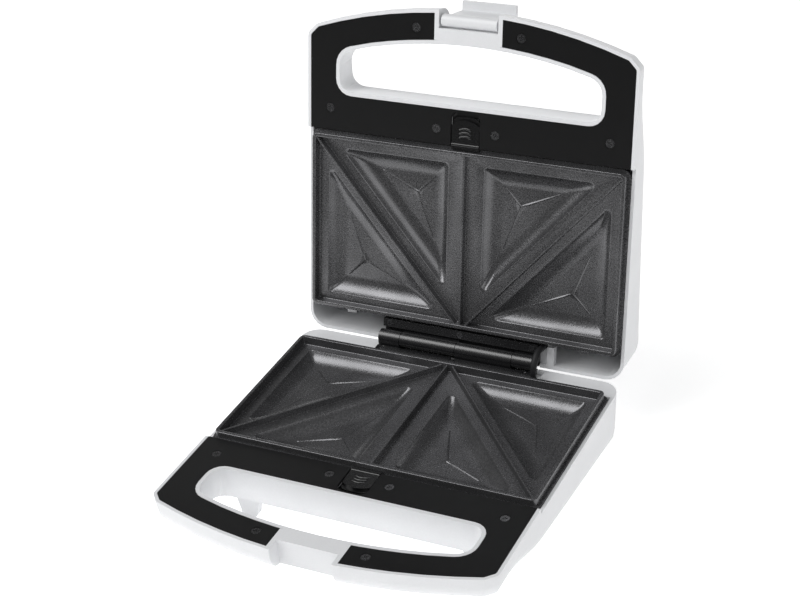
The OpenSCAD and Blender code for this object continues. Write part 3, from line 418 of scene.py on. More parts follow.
# Cooking plates -----------------------------------------------------------------------------------

PLATE_SIDE, PLATE_L, PLATE_REAR, PLATE_CORNER = 113.0, 124.0, 14.8, 4.0
PLATE_FRONT = PLATE_REAR + PLATE_L
RIM_H, RIM_T, RIM_DRAFT, LAND, PLATE_T = 2.6, 2.6, 0.3, 3.4, 2.0
FLANGE_W, FLANGE_TOP, FLANGE_LOW, FLANGE_LAP, FLANGE_EDGE = 2.0, -2.4, -4.2, 0.6, 0.3
RIB_H, RIB_HALF, RIB_FOOT, RIB_FILLET = 1.2, 0.7, 1.05, 0.25
# Ends of the right slanting rib, in from the plate's middle and rear edge and from its side and front edge
RIB_START, RIB_END = (3.0, 1.2), (2.0, 2.5)
# A slanting rib reaches past its ends, and the lines that its faces follow a little less far. The middle
# rib's lines stop short of the plate's edges
RIB_REACH, RIB_LINES, MID_LINE_GAP = (0.5, 3.0), (0.4, 1.5), 1.0
POCKET_D, POCKET_WALL, POCKET_RISE, POCKET_START = 7.0, 12.0, 0.3, math.radians(25)
POCKET_CORNER, POCKET_LIP, LIP_SLOPE = 3.0, 0.7, 0.52
# Distances inwards from a pocket's mouth of the rings that its faces follow, past those of its lip. None
# comes nearer to the middle than POCKET_MIDDLE
POCKET_RINGS = [1.3, 2.2, 3.4, 4.8, 6.4, 8.2, 10.2, 11.8, 13.0, 16.0, 20.0]
POCKET_MIDDLE = 3.0
SIDE_MARGIN, FRONT_MARGIN, REAR_MARGIN, MID_MARGIN = 10.0, 10.2, 8.4, 12.9
FRONT_RIB_MARGIN, REAR_RIB_MARGIN = 7.8, 7.4
# A crease loses these shares of its width and height on its way out, and fades over the last share
CREASE_TAPER, CREASE_DROP, CREASE_FADE = 0.6, 0.35, 0.15
# The lines beside a crease's own start this far along it
CREASE_START, CREASE_STEPS = 0.15, 8
# Faces this little above the land may belong to a pocket
ON_LAND = 0.01
# Slack of the tests for a line that runs along an edge and for a point at an edge's end
PARALLEL, ON_EDGE = 1e-9, 1e-6

RIB_A = Vector((RIB_START[0], -PLATE_REAR - RIB_START[1]))
RIB_B = Vector((PLATE_SIDE - RIB_END[0], -PLATE_FRONT + RIB_END[1]))
RIB_WAY = (RIB_B - RIB_A).normalized()
RIB_OUT = Vector((-RIB_WAY.y, RIB_WAY.x))


def plate_outline(grow=0.0):
    """Outline of a plate, moved outwards by grow."""
    x, front, rear, r = PLATE_SIDE, -PLATE_FRONT, -PLATE_REAR, PLATE_CORNER
    return rounded([(-x, front, r), (x, front, r), (x, rear, r), (-x, rear, r)], grow)


def pocket_triangles():
    """Corners of the two pockets right of the middle rib, the right-angled one first."""

    def on_x(x, m):
        return Vector((x, RIB_A.y + (m - (x - RIB_A.x) * RIB_OUT.x) / RIB_OUT.y))

    def on_y(y, m):
        return Vector((RIB_A.x + (m - (y - RIB_A.y) * RIB_OUT.y) / RIB_OUT.x, y))

    front, rear, outer = -PLATE_FRONT + FRONT_MARGIN, -PLATE_REAR - REAR_MARGIN, PLATE_SIDE - SIDE_MARGIN
    return [
        [Vector((MID_MARGIN, front)), on_y(front, -FRONT_RIB_MARGIN), on_x(MID_MARGIN, -FRONT_RIB_MARGIN)],
        [Vector((outer, rear)), on_y(rear, REAR_RIB_MARGIN), on_x(outer, REAR_RIB_MARGIN)],
    ]


class Pocket:
    """Hollow for half a sandwich: a rounded triangle that shrinks about its inscribed circle's centre."""

    def __init__(self, corners, sizes):
        a = (corners[1] - corners[2]).length
        b = (corners[2] - corners[0]).length
        c = (corners[0] - corners[1]).length
        s = a + b + c
        self.sizes = sizes
        self.centre = (a * corners[0] + b * corners[1] + c * corners[2]) / s
        self.r = math.sqrt((s / 2 - a) * (s / 2 - b) * (s / 2 - c) / (s / 2))
        self.outline = rounded([(p.x, p.y, POCKET_CORNER) for p in corners], steps=12)
        square = self.corner_at(corners)
        # Creases run out from the middle: way, length
        self.creases = []
        for i, p in enumerate(corners):
            reach = (p - self.centre).length
            share = sizes.crease_short if i == square else sizes.crease_long
            self.creases.append(((p - self.centre).normalized(), share * reach))

    @staticmethod
    def corner_at(corners):
        """Index of the right-angled corner."""
        cosines = []
        for i, p in enumerate(corners):
            u = (corners[i - 1] - p).normalized()
            w = (corners[(i + 1) % 3] - p).normalized()
            cosines.append(abs(u.dot(w)))
        return cosines.index(min(cosines))

    def ring(self, d):
        """The mouth's outline moved inwards by d."""
        k = 1 - d / self.r
        return [self.centre + k * (p - self.centre) for p in self.outline]

    def inset(self, x, y):
        """Distance inwards from the pocket's mouth, measured on the ring through (x, y)."""
        p = Vector((x, y)) - self.centre
        for i, b in enumerate(self.outline):
            a = self.outline[i - 1] - self.centre
            e = b - self.centre - a
            det = p.x * e.y - p.y * e.x
            if abs(det) < PARALLEL:
                continue
            t = (a.x * e.y - a.y * e.x) / det
            s = (a.x * p.y - a.y * p.x) / det
            if t > 0 and -ON_EDGE <= s <= 1 + ON_EDGE:
                return self.r * (1 - 1 / t)
        return self.r

    def crease(self, p):
        """Height of the raised creases at p, a point measured from the pocket's middle."""
        best = 0.0
        for way, length in self.creases:
            along, off = p.dot(way), abs(p.x * way.y - p.y * way.x)
            if not -1.0 < along < length:
                continue
            share = max(0.0, along) / length
            half = self.sizes.crease_width / MM / 2 * (1 - CREASE_TAPER * share)
            fade = min(1.0, (1 - share) / CREASE_FADE)
            crest = self.sizes.crease_height / MM * fade * (1 - CREASE_DROP * share)
            best = max(best, crest * (1 - off / half))
        return best

    def depth(self, x, y):
        """Depth of the pocket below the land at (x, y)."""
        d = self.inset(x, y)
        if d <= -POCKET_LIP:
            return 0.0
        if d < POCKET_WALL:
            a = math.acos(max(-1, min(1, math.cos(POCKET_START) * (1 - max(d, 0) / POCKET_WALL))))
            wall = POCKET_D * (math.sin(a) - math.sin(POCKET_START)) / (1 - math.sin(POCKET_START))
            if d < POCKET_LIP:
                # Eased lip between the land and the wall
                return max(wall, LIP_SLOPE * (d + POCKET_LIP) ** 2 / (2 * POCKET_LIP))
            return wall
        share = (d - POCKET_WALL) / (self.r - POCKET_WALL)
        return POCKET_D - POCKET_RISE * share - self.crease(Vector((x, y)) - self.centre)


def edge_distance(x, y):
    """Distance inwards from the plate's outline."""
    near = min(PLATE_SIDE - abs(x), y + PLATE_FRONT, -PLATE_REAR - y)
    cx = abs(x) - (PLATE_SIDE - PLATE_CORNER)
    cy = max(PLATE_CORNER - PLATE_FRONT - y, y + PLATE_REAR + PLATE_CORNER)
    if cx > 0 and cy > 0:
        near = PLATE_CORNER - math.hypot(cx, cy)
    return near


def eased_step(off, half, top, draft, crest_r, foot_r):
    """Height of a bar of the given half width at distance off from its middle: a rounded crest, drafted
    sides and a hollow fillet at the foot."""
    side = half + draft
    if off < half - crest_r:
        return top
    if off < half:
        return top - crest_r + math.sqrt(max(0.0, crest_r**2 - (off - half + crest_r) ** 2))
    if off < side:
        return (top - crest_r) + (foot_r - top + crest_r) * (off - half) / draft
    if off < side + foot_r:
        return foot_r - math.sqrt(max(0.0, foot_r**2 - (side + foot_r - off) ** 2))
    return 0.0


def land_height(x, y, sizes):
    """Height of the plate's face above its land: the rim and the ribs."""
    rim_top, rib_top = RIM_H + LAND, RIB_H + LAND
    d = edge_distance(x, y)
    off = abs(d - RIM_T / 2)
    crest, foot = sizes.rim_round / MM, sizes.rim_foot / MM
    if d > RIM_T / 2:
        high = eased_step(off, RIM_T / 2, rim_top, RIM_DRAFT, crest, foot)
    else:
        high = rim_top - crest + math.sqrt(max(0.0, crest**2 - max(0.0, off - RIM_T / 2 + crest) ** 2))
    offs = [abs(x)]
    for side in (-1, 1):
        p = Vector((side * x, y)) - RIB_A
        if -RIB_REACH[0] < p.dot(RIB_WAY) < (RIB_B - RIB_A).length + RIB_REACH[1]:
            offs.append(abs(p.dot(RIB_OUT)))
    rib_draft, rib_crest = RIB_FOOT - RIB_HALF, sizes.rib_round / MM
    for off in offs:
        high = max(high, eased_step(off, RIB_HALF, rib_top, rib_draft, rib_crest, RIB_FILLET))
    return high


def plate_lines(sizes):
    """Lines along the rim and the ribs that the faces of a plate follow."""
    lines = []
    rim, foot, crest = sizes.rim_round / MM, sizes.rim_foot / MM, sizes.rib_round / MM
    # How far a round of unit radius has come in, at five steps round it
    rounds = [1 - math.cos(math.pi / 2 * k / 4) for k in range(5)]
    for d in (
        [rim * r for r in rounds[1:]]
        + [RIM_T - rim * r for r in rounds]
        + [RIM_T + RIM_DRAFT + foot * r for r in rounds]
    ):
        lines.append((plate_outline(-d), True))
    offs = [RIB_HALF - crest * r for r in rounds] + [RIB_FOOT + RIB_FILLET * r for r in rounds]
    rear, front = -PLATE_REAR - MID_LINE_GAP, MID_LINE_GAP - PLATE_FRONT
    for off in sorted(set(round(o, 4) for o in offs)):
        for s in (-1, 1):
            lines.append(([Vector((s * off, rear)), Vector((s * off, front))], False))
            for side in (-1, 1):
                start = RIB_A + s * off * RIB_OUT - RIB_LINES[0] * RIB_WAY
                end = RIB_B + s * off * RIB_OUT + RIB_LINES[1] * RIB_WAY
                lines.append(([Vector((side * p.x, p.y)) for p in (start, end)], False))
    return lines


def pocket_lines(pocket, sizes):
    """Rings round a pocket, and lines along its creases, that its faces follow."""
    lines = []
    for d in [share * POCKET_LIP for share in (-1.0, -0.5, 0.0, 0.5, 1.0)] + POCKET_RINGS:
        if d < pocket.r - POCKET_MIDDLE:
            lines.append((pocket.ring(d), True))
    width = sizes.crease_width / MM
    for way, length in pocket.creases:
        side = Vector((-way.y, way.x))
        for off in (-1.0, -0.5, 0.0, 0.5, 1.0):
            w = off * width / 2
            lines.append(([
                pocket.centre + side * w * (1 - CREASE_TAPER * k / CREASE_STEPS)
                + way * (CREASE_START * abs(off) + length * k / CREASE_STEPS)
                for k in range(CREASE_STEPS + 1)
            ], False))
        fading = pocket.centre + way * (1 - CREASE_FADE) * length
        lines.append(([fading + side * s * width for s in (-1, 1)], False))
    return lines


def build_cooking_plate(half, sizes):
    """One casting: the moulded face over an even skin, with the flange that the clips hold."""
    pockets = []
    for corners in pocket_triangles():
        pockets.append(Pocket(corners, sizes))
        pockets.append(Pocket([Vector((-p.x, p.y)) for p in reversed(corners)], sizes))

    def height(x, y):
        z = -LAND + land_height(x, y, sizes)
        if z < -LAND + ON_LAND:
            for pocket in pockets:
                if (pocket.centre.x > 0) == (x > 0):
                    z -= pocket.depth(x, y)
        return z

    def low(x, y):
        return min(-LAND, height(x, y)) - PLATE_T

    lines = plate_lines(sizes)
    for pocket in pockets:
        lines += pocket_lines(pocket, sizes)
    bm = bmesh.new()
    terrain(bm, plate_outline(), [], lines, height, low)
    edge = (plate_outline(FLANGE_W - FLANGE_EDGE), True)
    terrain(bm, plate_outline(FLANGE_W), [plate_outline(-FLANGE_LAP)], [edge],
            lambda x, y: FLANGE_TOP, lambda x, y: FLANGE_LOW)
    piece(half + "_cooking_plate_cast", bm, HALVES[half], half, MATERIALS["plate"], "nonstick_aluminium",
          half + "_cooking_plate", sharp=30, weighted=False)


# Release buttons and their slots ------------------------------------------------------------------

BUTTON_TOP, BUTTON_FRONT, BUTTON_NOSE, BUTTON_HALF, BUTTON_TRAVEL = -0.5, -159.6, -139.4, 10.0, 3.5
TONGUE_HALF = 8.0
RIDGE_N, RIDGE_R, RIDGE_FIRST, RIDGE_PITCH, RIDGE_SPAN = 3, 9.0, 5.6, 2.6, math.radians(56)
RIDGE_HALF, RIDGE_H, RIDGE_STEPS = 0.8, 0.65, 16
BAND_Y, BAND_HALF, BAND_H, BAND_INSET = BUTTON_NOSE - 3.3, 1.15, 0.8, 0.1
# Depth to which the ridges and the band are sunk in the button, and the steps round them
BAR_SUNK, BAR_STEPS = 0.3, 8
# The foot: its reach ahead of the button's front edge and behind it, its levels, gap to the slot, corners
FOOT_AHEAD, FOOT_BEHIND, FOOT_TOP, FOOT_LOW, FOOT_GAP, FOOT_CORNER = 2.0, 5.0, -2.0, -2.9, 0.3, 0.3
SLOT_END, SLOT_HALF, SLOT_CORNER = -165.3, 10.5, 5.25
# The shelf: its levels inside the slot, at its lips, under the cover and below
SHELF_TOP, SHELF_LIP, SHELF_HANG, SHELF_LOW = -3.2, -2.05, -1.8, -5.2
SHELF_GAP, SHELF_L, SHELF_ARM_L, SHELF_CORNER, SHELF_ARM_CORNER = 0.3, 4.1, 6.0, 0.6, 0.3
# How far past the button's side the shelf ends, and where its lip starts to rise and has risen
SHELF_SIDE, LIP_FOOT, LIP_MIDDLE, LIP_CREST = 0.25, 0.03, 0.08, 0.13
# The step under the slot's edge spreads to both sides of it and ends short of the shelf's rear edge
STEP_HALF, STEP_GAP, LIP_FRONT_GAP, LIP_REAR_GAP = 0.15, 0.2, 0.5, 0.3


def bar(bm, stations, half, high):
    """Half-round bar on the button, closed at both ends, along stations of (point, way across)."""
    profile = [(half * math.cos(a), high * math.sin(a))
               for a in [math.pi * k / BAR_STEPS for k in range(BAR_STEPS + 1)]]
    profile += [(-half, -BAR_SUNK), (half, -BAR_SUNK)]
    rows = [
        [bm.verts.new((p.x + u * across.x, p.y + u * across.y, BUTTON_TOP + w)) for u, w in profile]
        for p, across in stations
    ]
    for near, far in zip(rows, rows[1:]):
        for k in range(len(profile)):
            bm.faces.new((near[k - 1], near[k], far[k], far[k - 1]))
    bm.faces.new(rows[0][::-1])
    bm.faces.new(rows[-1])


def add_solid(bm, extra, matrix):
    """Adds a closed solid, drawn in a half frame, to a mesh in metres."""
    bmesh.ops.recalc_face_normals(extra, faces=extra.faces)
    bmesh.ops.transform(extra, matrix=matrix, verts=extra.verts)
    if matrix.determinant() < 0:
        bmesh.ops.reverse_faces(extra, faces=extra.faces)
    mesh = bpy.data.meshes.new("extra")
    extra.to_mesh(mesh)
    extra.free()
    bm.from_mesh(mesh)
    bpy.data.meshes.remove(mesh)


def add_button_relief(bm, matrix):
    """Curved finger ridges and a straight band at the nose."""
    extra = bmesh.new()
    ways = [-math.pi / 2 - RIDGE_SPAN / 2 + RIDGE_SPAN * k / RIDGE_STEPS for k in range(RIDGE_STEPS + 1)]
    outs = [Vector((math.cos(a), math.sin(a))) for a in ways]
    for i in range(RIDGE_N):
        centre = Vector((0, BUTTON_FRONT + RIDGE_FIRST + i * RIDGE_PITCH + RIDGE_R))
        bar(extra, [(centre + RIDGE_R * out, out) for out in outs], RIDGE_HALF, RIDGE_H)
    ends = [Vector((s * (BUTTON_HALF - BAND_INSET), BAND_Y)) for s in (-1, 1)]
    bar(extra, [(end, Vector((0, -1))) for end in ends], BAND_HALF, BAND_H)
    add_solid(bm, extra, matrix)


def add_button_foot(bm, matrix):
    """Foot under the button's front edge, which keeps the slot closed ahead of it."""
    x, front, rear = BUTTON_HALF, BUTTON_FRONT - FOOT_AHEAD, BUTTON_FRONT + FOOT_BEHIND
    r, small = SLOT_CORNER - FOOT_GAP, FOOT_CORNER
    outline = rounded([(-x, front, r), (x, front, r), (x, rear, small), (-x, rear, small)], steps=6)
    extra = bmesh.new()
    terrain(extra, outline, [], [], lambda px, py: FOOT_TOP, lambda px, py: FOOT_LOW)
    add_solid(bm, extra, matrix)


def add_slot_shelf(bm, matrix):
    """Shelf of the cover under the slot's end, ahead of the button, with an arm and a lip at each side. It
    hangs on the cover at the slot's corners."""
    x, front, rear = BUTTON_HALF + SHELF_SIDE, SLOT_END + SHELF_GAP, SLOT_END + SHELF_L
    arm, arm_end = TONGUE_HALF + SHELF_GAP, rear + SHELF_ARM_L
    r, small = SHELF_CORNER, SHELF_ARM_CORNER
    outline = rounded([
        (-x, front, r), (x, front, r), (x, arm_end, small), (arm, arm_end, small),
        (arm, rear, 0), (-arm, rear, 0), (-arm, arm_end, small), (-x, arm_end, small),
    ], steps=3)

    def slot(grow):
        w, end = SLOT_HALF, SLOT_END
        return rounded([(-w, end, SLOT_CORNER), (w, end, SLOT_CORNER), (w, 0, 0), (-w, 0, 0)], grow)

    hole = slot(0.0)
    lines = [[p for p in slot(grow) if p.y < rear - STEP_GAP] for grow in (-STEP_HALF, STEP_HALF)]
    for side in (-1, 1):
        for past in (LIP_FOOT, LIP_CREST):
            lip = side * (BUTTON_HALF + past)
            lines.append([Vector((lip, front + LIP_FRONT_GAP)), Vector((lip, arm_end - LIP_REAR_GAP))])

    def height(px, py):
        if not inside(Vector((px, py)), hole):
            return SHELF_HANG
        return SHELF_LIP if abs(px) > BUTTON_HALF + LIP_MIDDLE else SHELF_TOP

    extra = bmesh.new()
    terrain(extra, outline, [], [(line, False) for line in lines], height, lambda px, py: SHELF_LOW)
    add_solid(bm, extra, matrix)


def build_release_spring(half, matrix):
    """Coil against the shell's peg, which closes up as its button is pressed; here it rides on its half at
    its drawn length.
    """
    node = half + "_release_spring"
    obj = piece(half + "_spring_coil", eased_copy(node, 0), Matrix.Identity(4), half, MATERIALS["zinc"],
                "bright_steel", node)
    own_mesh(obj)


# Wire sleeve --------------------------------------------------------------------------------------

SLEEVE_X, SLEEVE_BEND, SLEEVE_R, SLEEVE_STRAIGHT = 60.3, 10.5, 2.1, 11.4
SLEEVE_SIDES, SLEEVE_BEND_STEPS, SLEEVE_END_STEPS = 20, 24, 6


def build_wire_sleeve():
    """Braided sleeve that leaves the base upwards in front of the hinge and bends over it into the lid."""
    bends, straights = SLEEVE_BEND_STEPS, SLEEVE_END_STEPS
    turn = math.radians(OPEN_ANGLE)

    def ring(angle, past):
        """Points round the sleeve at an angle about the hinge, moved straight on by past."""
        out = Vector((0, math.cos(angle), math.sin(angle)))
        along = Vector((0, math.sin(angle), -math.cos(angle)))
        centre = Vector((SLEEVE_X, 0, HINGE_H)) + SLEEVE_BEND * out + past * along
        return [
            centre + SLEEVE_R * (math.cos(a) * out + math.sin(a) * Vector((1, 0, 0)))
            for a in [2 * math.pi * k / SLEEVE_SIDES for k in range(SLEEVE_SIDES)]
        ]

    path = [(math.pi, -SLEEVE_STRAIGHT * (1 - k / straights)) for k in range(straights)]
    path += [(math.pi - turn * k / bends, 0.0) for k in range(bends + 1)]
    path += [(math.pi - turn, SLEEVE_STRAIGHT * (k + 1) / straights) for k in range(straights)]
    bm = bmesh.new()
    rows = [[bm.verts.new(p) for p in ring(*step)] for step in path]
    for near, far in zip(rows, rows[1:]):
        for k in range(SLEEVE_SIDES):
            bm.faces.new((near[k - 1], near[k], far[k], far[k - 1]))
    bm.faces.new(rows[0][::-1])
    bm.faces.new(rows[-1])
    bmesh.ops.recalc_face_normals(bm, faces=bm.faces)
    obj = piece("wire_sleeve_braid", bm, BASE, None, MATERIALS["sleeve"], "sleeve_rubber", "wire_sleeve",
                sharp=50, weighted=False)
    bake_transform(obj)


# Stage --------------------------------------------------------------------------------------------

CAMERA_PLACE, CAMERA_TARGET, CAMERA_ROLL = (0.4603, -0.8671, 0.7189), (-0.0678, 0.1214, 0.0455), -5.43
CAMERA_LENS, CAMERA_SENSOR, CAMERA_REACH = 81.4, 36.0, 50
LIGHT_TARGET = (0, 0.05, 0.1)
KEY_PLACE = (-1.1, -0.75, 2.0)
SIDE_PLACE, SIDE_SIZE = (1.9, -0.3, 0.9), (0.9, 1.2)
FRONT_PLACE, FRONT_SIZE = (1.0, -1.9, 1.5), (1.4, 1.4)
CARD_LEFT, CARD_RIGHT, CARD_Y, CARD_TOP = -1.3, 0.6, -0.7, 0.5
SHEET_HALF_W, SHEET_FRONT, SHEET_BACK, SHEET_TOP, SHEET_BEND, SHEET_STEPS = 4.0, -3.0, 3.0, 1.5, 0.8, 12


def aim(obj, place, target, roll=0.0):
    """Puts obj at place, facing the target, and rolls it by an angle in radians."""
    back = (Vector(place) - Vector(target)).normalized()
    right = (-back).cross(Vector((0, 0, 1))).normalized()
    up = right.cross(-back)
    c, s = math.cos(roll), math.sin(roll)
    x, y = c * right + s * up, -s * right + c * up
    obj.matrix_world = Matrix((
        (x.x, y.x, back.x, place[0]),
        (x.y, y.y, back.y, place[1]),
        (x.z, y.z, back.z, place[2]),
        (0, 0, 0, 1),
    ))


def add_camera():
    """Camera above the front right corner, tilted a little to one side."""
    data = bpy.data.cameras.new("camera")
    data.lens, data.sensor_width = CAMERA_LENS, CAMERA_SENSOR
    data.clip_end = CAMERA_REACH
    camera = bpy.data.objects.new("camera", data)
    bpy.context.scene.collection.objects.link(camera)
    aim(camera, CAMERA_PLACE, CAMERA_TARGET, math.radians(CAMERA_ROLL))
    bpy.context.scene.camera = camera


def add_softbox(name, place, size, power):
    """White softbox that faces the toaster."""
    data = bpy.data.lights.new(name, "AREA")
    data.shape = "RECTANGLE"
    data.size, data.size_y = size
    data.energy = power
    light = bpy.data.objects.new(name, data)
    bpy.context.scene.collection.objects.link(light)
    aim(light, place, LIGHT_TARGET)


def add_flag(brightness):
    """Dim card in front of the toaster, seen only in reflections: a painted dark reflection, faintly
    glowing, that keeps the covers and lands dark.
    """
    # Card, matt black and glowing faintly by its own emission: it lights nothing and casts no shadow, and
    # only paints a dark reflection
    card, _, shader = material("reflection_only_glowing_card", srgb("#000000"), 0.9, 1.3)
    shader.inputs["Emission Color"].default_value = srgb("#FFFFFF")
    shader.inputs["Emission Strength"].default_value = brightness
    mesh = bpy.data.meshes.new("reflection_only_card")
    bottom = [(x, CARD_Y, 0.0) for x in (CARD_LEFT, CARD_RIGHT)]
    top = [(x, CARD_Y, CARD_TOP) for x in (CARD_RIGHT, CARD_LEFT)]
    mesh.from_pydata(bottom + top, [], [(3, 2, 1, 0)])
    mesh.materials.append(card)
    flag = bpy.data.objects.new("reflection_only_card", mesh)
    # Hidden from the camera, from diffuse rays and from shadows, so that it shows only as a painted
    # reflection
    flag.visible_camera = flag.visible_diffuse = flag.visible_shadow = False
    bpy.context.scene.collection.objects.link(flag)


def add_sheet(backlight):
    """Seamless sheet: flat under the toaster and swept up behind it."""
    mesh = bpy.data.meshes.new("paper_sweep")
    bm = bmesh.new()
    r = SHEET_BEND
    profile = [(SHEET_FRONT, 0.0)] + [
        (SHEET_BACK - r + r * math.sin(a), r - r * math.cos(a))
        for a in [math.pi / 2 * k / SHEET_STEPS for k in range(SHEET_STEPS + 1)]
    ] + [(SHEET_BACK, SHEET_TOP)]
    rows = [[bm.verts.new((x, y, z)) for y, z in profile] for x in (-SHEET_HALF_W, SHEET_HALF_W)]
    for k in range(len(profile) - 1):
        bm.faces.new((rows[0][k], rows[1][k], rows[1][k + 1], rows[0][k + 1]))
    bm.normal_update()
    bm.to_mesh(mesh)
    bm.free()
    mesh.shade_smooth()
    # Acrylic sheet, cast and lit from below: an even white that takes soft shadows
    sheet, tree, shader = material("backlit_white_acrylic", srgb("#FFFFFF"), 0.8, 1.49)
    shader.inputs["Emission Color"].default_value = srgb("#FFFFFF")
    shader.inputs["Emission Strength"].default_value = backlight
    place = add(tree, "TexCoord").outputs["Object"]
    haze = add(tree, "TexNoise", {"Scale": per_mm(40.0), "Detail": 2.0}, Vector=place)
    relief = add(tree, "Bump", {"Strength": 0.1, "Distance": 0.05 * MM}, Height=haze.outputs["Fac"])
    tree.links.new(relief.outputs[0], shader.inputs["Normal"])
    mesh.materials.append(sheet)
    sweep = bpy.data.objects.new("paper_sweep", mesh)
    bpy.context.scene.collection.objects.link(sweep)


def build_stage(light):
    """Even room light, the sheet, three softboxes, the card and the camera."""
    scene = bpy.context.scene
    scene.view_settings.view_transform = "Standard"
    scene.view_settings.look = "None"
    world = bpy.data.worlds.new("studio")
    world.use_nodes = True
    background = world.node_tree.nodes["Background"]
    background.inputs["Color"].default_value = srgb("#FFFFFF")
    background.inputs["Strength"].default_value = light.room
    scene.world = world
    add_sheet(light.backlight)
    add_softbox("key_softbox", KEY_PLACE, (light.key_width, light.key_length), light.key)
    add_softbox("side_softbox", SIDE_PLACE, SIDE_SIZE, light.side)
    add_softbox("front_softbox", FRONT_PLACE, FRONT_SIZE, light.front)
    add_flag(light.flag)
    add_camera()


# Pieces -------------------------------------------------------------------------------------------


def dress(name, node, body, key, slot, radius, sharp=SHARP, **edges):
    """Stands a copy of a CAD node with rounded edges in its place."""
    piece(name, eased_copy(node, radius, **edges), Matrix.Identity(4), body, MATERIALS[key], slot, node,
          sharp=sharp)


class ToasterSizes(bpy.types.PropertyGroup):
    """Roundings, and the creases in the pockets"""

    shell_round: bpy.props.FloatProperty(
        name="Shell edge", description="Rounding of the shells' edges", default=0.5 * MM, min=0.0,
        unit="LENGTH", subtype="DISTANCE",
    )
    cover_round: bpy.props.FloatProperty(
        name="Cover edge", description="Rounding of the covers', buttons' and hinge's edges",
        default=0.25 * MM, min=0.0, unit="LENGTH", subtype="DISTANCE",
    )
    rim_round: bpy.props.FloatProperty(
        name="Rim edge", description="Rounding of the top of the plates' rims", default=0.5 * MM,
        min=0.1 * MM, max=1.2 * MM, unit="LENGTH", subtype="DISTANCE",
    )
    rim_foot: bpy.props.FloatProperty(
        name="Rim foot", description="Hollow fillet between the rim and the land", default=0.6 * MM,
        min=0.2 * MM, max=2.5 * MM, unit="LENGTH", subtype="DISTANCE",
    )
    rib_round: bpy.props.FloatProperty(
        name="Rib crest", description="Rounding of the ribs' crests", default=0.35 * MM, min=0.1 * MM,
        max=0.7 * MM, unit="LENGTH", subtype="DISTANCE",
    )
    crease_width: bpy.props.FloatProperty(
        name="Crease width", description="Width of the raised creases in the middle of a pocket",
        default=1.8 * MM, min=0.4 * MM, unit="LENGTH", subtype="DISTANCE",
    )
    crease_height: bpy.props.FloatProperty(
        name="Crease height", description="Height of the raised creases in the middle of a pocket",
        default=0.52 * MM, min=0.0, unit="LENGTH", subtype="DISTANCE",
    )
    crease_long: bpy.props.FloatProperty(
        name="Long creases", description="Share of the way to a pocket's sharp corners", default=0.54,
        min=0.2, max=0.7, subtype="FACTOR",
    )
    crease_short: bpy.props.FloatProperty(
        name="Short creases", description="Share of the way to a pocket's square corner", default=0.62,
        min=0.2, max=0.7, subtype="FACTOR",
    )


def colour_property(name, description, text):
    """Colour property with the sRGB hex value text as its default."""
    return bpy.props.FloatVectorProperty(
        name=name, description=description, size=4, subtype="COLOR", default=srgb(text), min=0.0, max=1.0
    )


class ToasterColours(bpy.types.PropertyGroup):
    """Base colours of the finishes"""

    shell: colour_property("Shells", "Colour of the two shells and the latch", "#E3E4E6")
    cover: colour_property("Covers", "Colour of the covers and the release buttons", "#0D0D0E")
    hinge: colour_property("Hinge", "Colour of the hinge leaves", "#1A1A1C")
    plate: colour_property("Plates", "Colour of the cooking plates' coating", "#757577")
    power_lens: colour_property("Power lamp", "Colour of the power lamp's lens", "#B3120E")
    ready_lens: colour_property("Ready lamp", "Colour of the ready lamp's lens", "#1C8A33")


class ToasterLight(bpy.types.PropertyGroup):
    """Strength of the stage's lights"""

    room: bpy.props.FloatProperty(
        name="Room", description="Strength of the even light of the room", default=0.16, min=0.0
    )
    backlight: bpy.props.FloatProperty(
        name="Backlight", description="Strength of the light through the sheet", default=0.5, min=0.0
    )
    key: bpy.props.FloatProperty(
        name="Key", description="Power of the long softbox over the front left", default=45.0, min=0.0,
        unit="POWER",
    )
    key_width: bpy.props.FloatProperty(
        name="Key width", description="Width of that softbox", default=1.2, min=0.05, unit="LENGTH",
        subtype="DISTANCE",
    )
    key_length: bpy.props.FloatProperty(
        name="Key length", description="Length of that softbox, front to back", default=2.8, min=0.05,
        unit="LENGTH", subtype="DISTANCE",
    )
    side: bpy.props.FloatProperty(
        name="Side", description="Power of the softbox at the right", default=5.0, min=0.0, unit="POWER"
    )
    front: bpy.props.FloatProperty(
        name="Front", description="Power of the softbox at the front right", default=9.0, min=0.0,
        unit="POWER",
    )
    flag: bpy.props.FloatProperty(
        name="Card", description="Brightness of the dim card in front", default=0.1, min=0.0
    )


class TOASTER_OT_finishes(bpy.types.Operator):
    """Mixes the finishes of all pieces"""

    bl_idname = "toaster.finishes"
    bl_label = "Finishes"

    def execute(self, context):
        MATERIALS.update(make_materials(context.scene.toaster_colours))
        return {"FINISHED"}


class TOASTER_OT_shells(bpy.types.Operator):
    """Rounds the edges of the two white shells"""

    bl_idname = "toaster.shells"
    bl_label = "Shells"

    def execute(self, context):
        for half in HALVES:
            dress(half + "_shell_moulding", half + "_shell", half, "white", "white_plastic",
                  context.scene.toaster_sizes.shell_round, angle=55, shortest=1.5, sharp=38)
        return {"FINISHED"}


class TOASTER_OT_cooking_plates(bpy.types.Operator):
    """Casts the two cooking plates with their rims, ribs, pockets and creases"""

    bl_idname = "toaster.cooking_plates"
    bl_label = "Cooking plates"

    def execute(self, context):
        for half in HALVES:
            build_cooking_plate(half, context.scene.toaster_sizes)
        return {"FINISHED"}


class TOASTER_OT_covers(bpy.types.Operator):
    """Eases the edges of the two black covers and adds the shelves in their slots"""

    bl_idname = "toaster.covers"
    bl_label = "Covers"

    def execute(self, context):
        for half, matrix in HALVES.items():
            node = half + "_cover_panel"
            bm = compacted(eased_copy(node, context.scene.toaster_sizes.cover_round))
            add_slot_shelf(bm, matrix)
            piece(half + "_cover", bm, Matrix.Identity(4), half, MATERIALS["black"], "black_plastic", node)
        return {"FINISHED"}


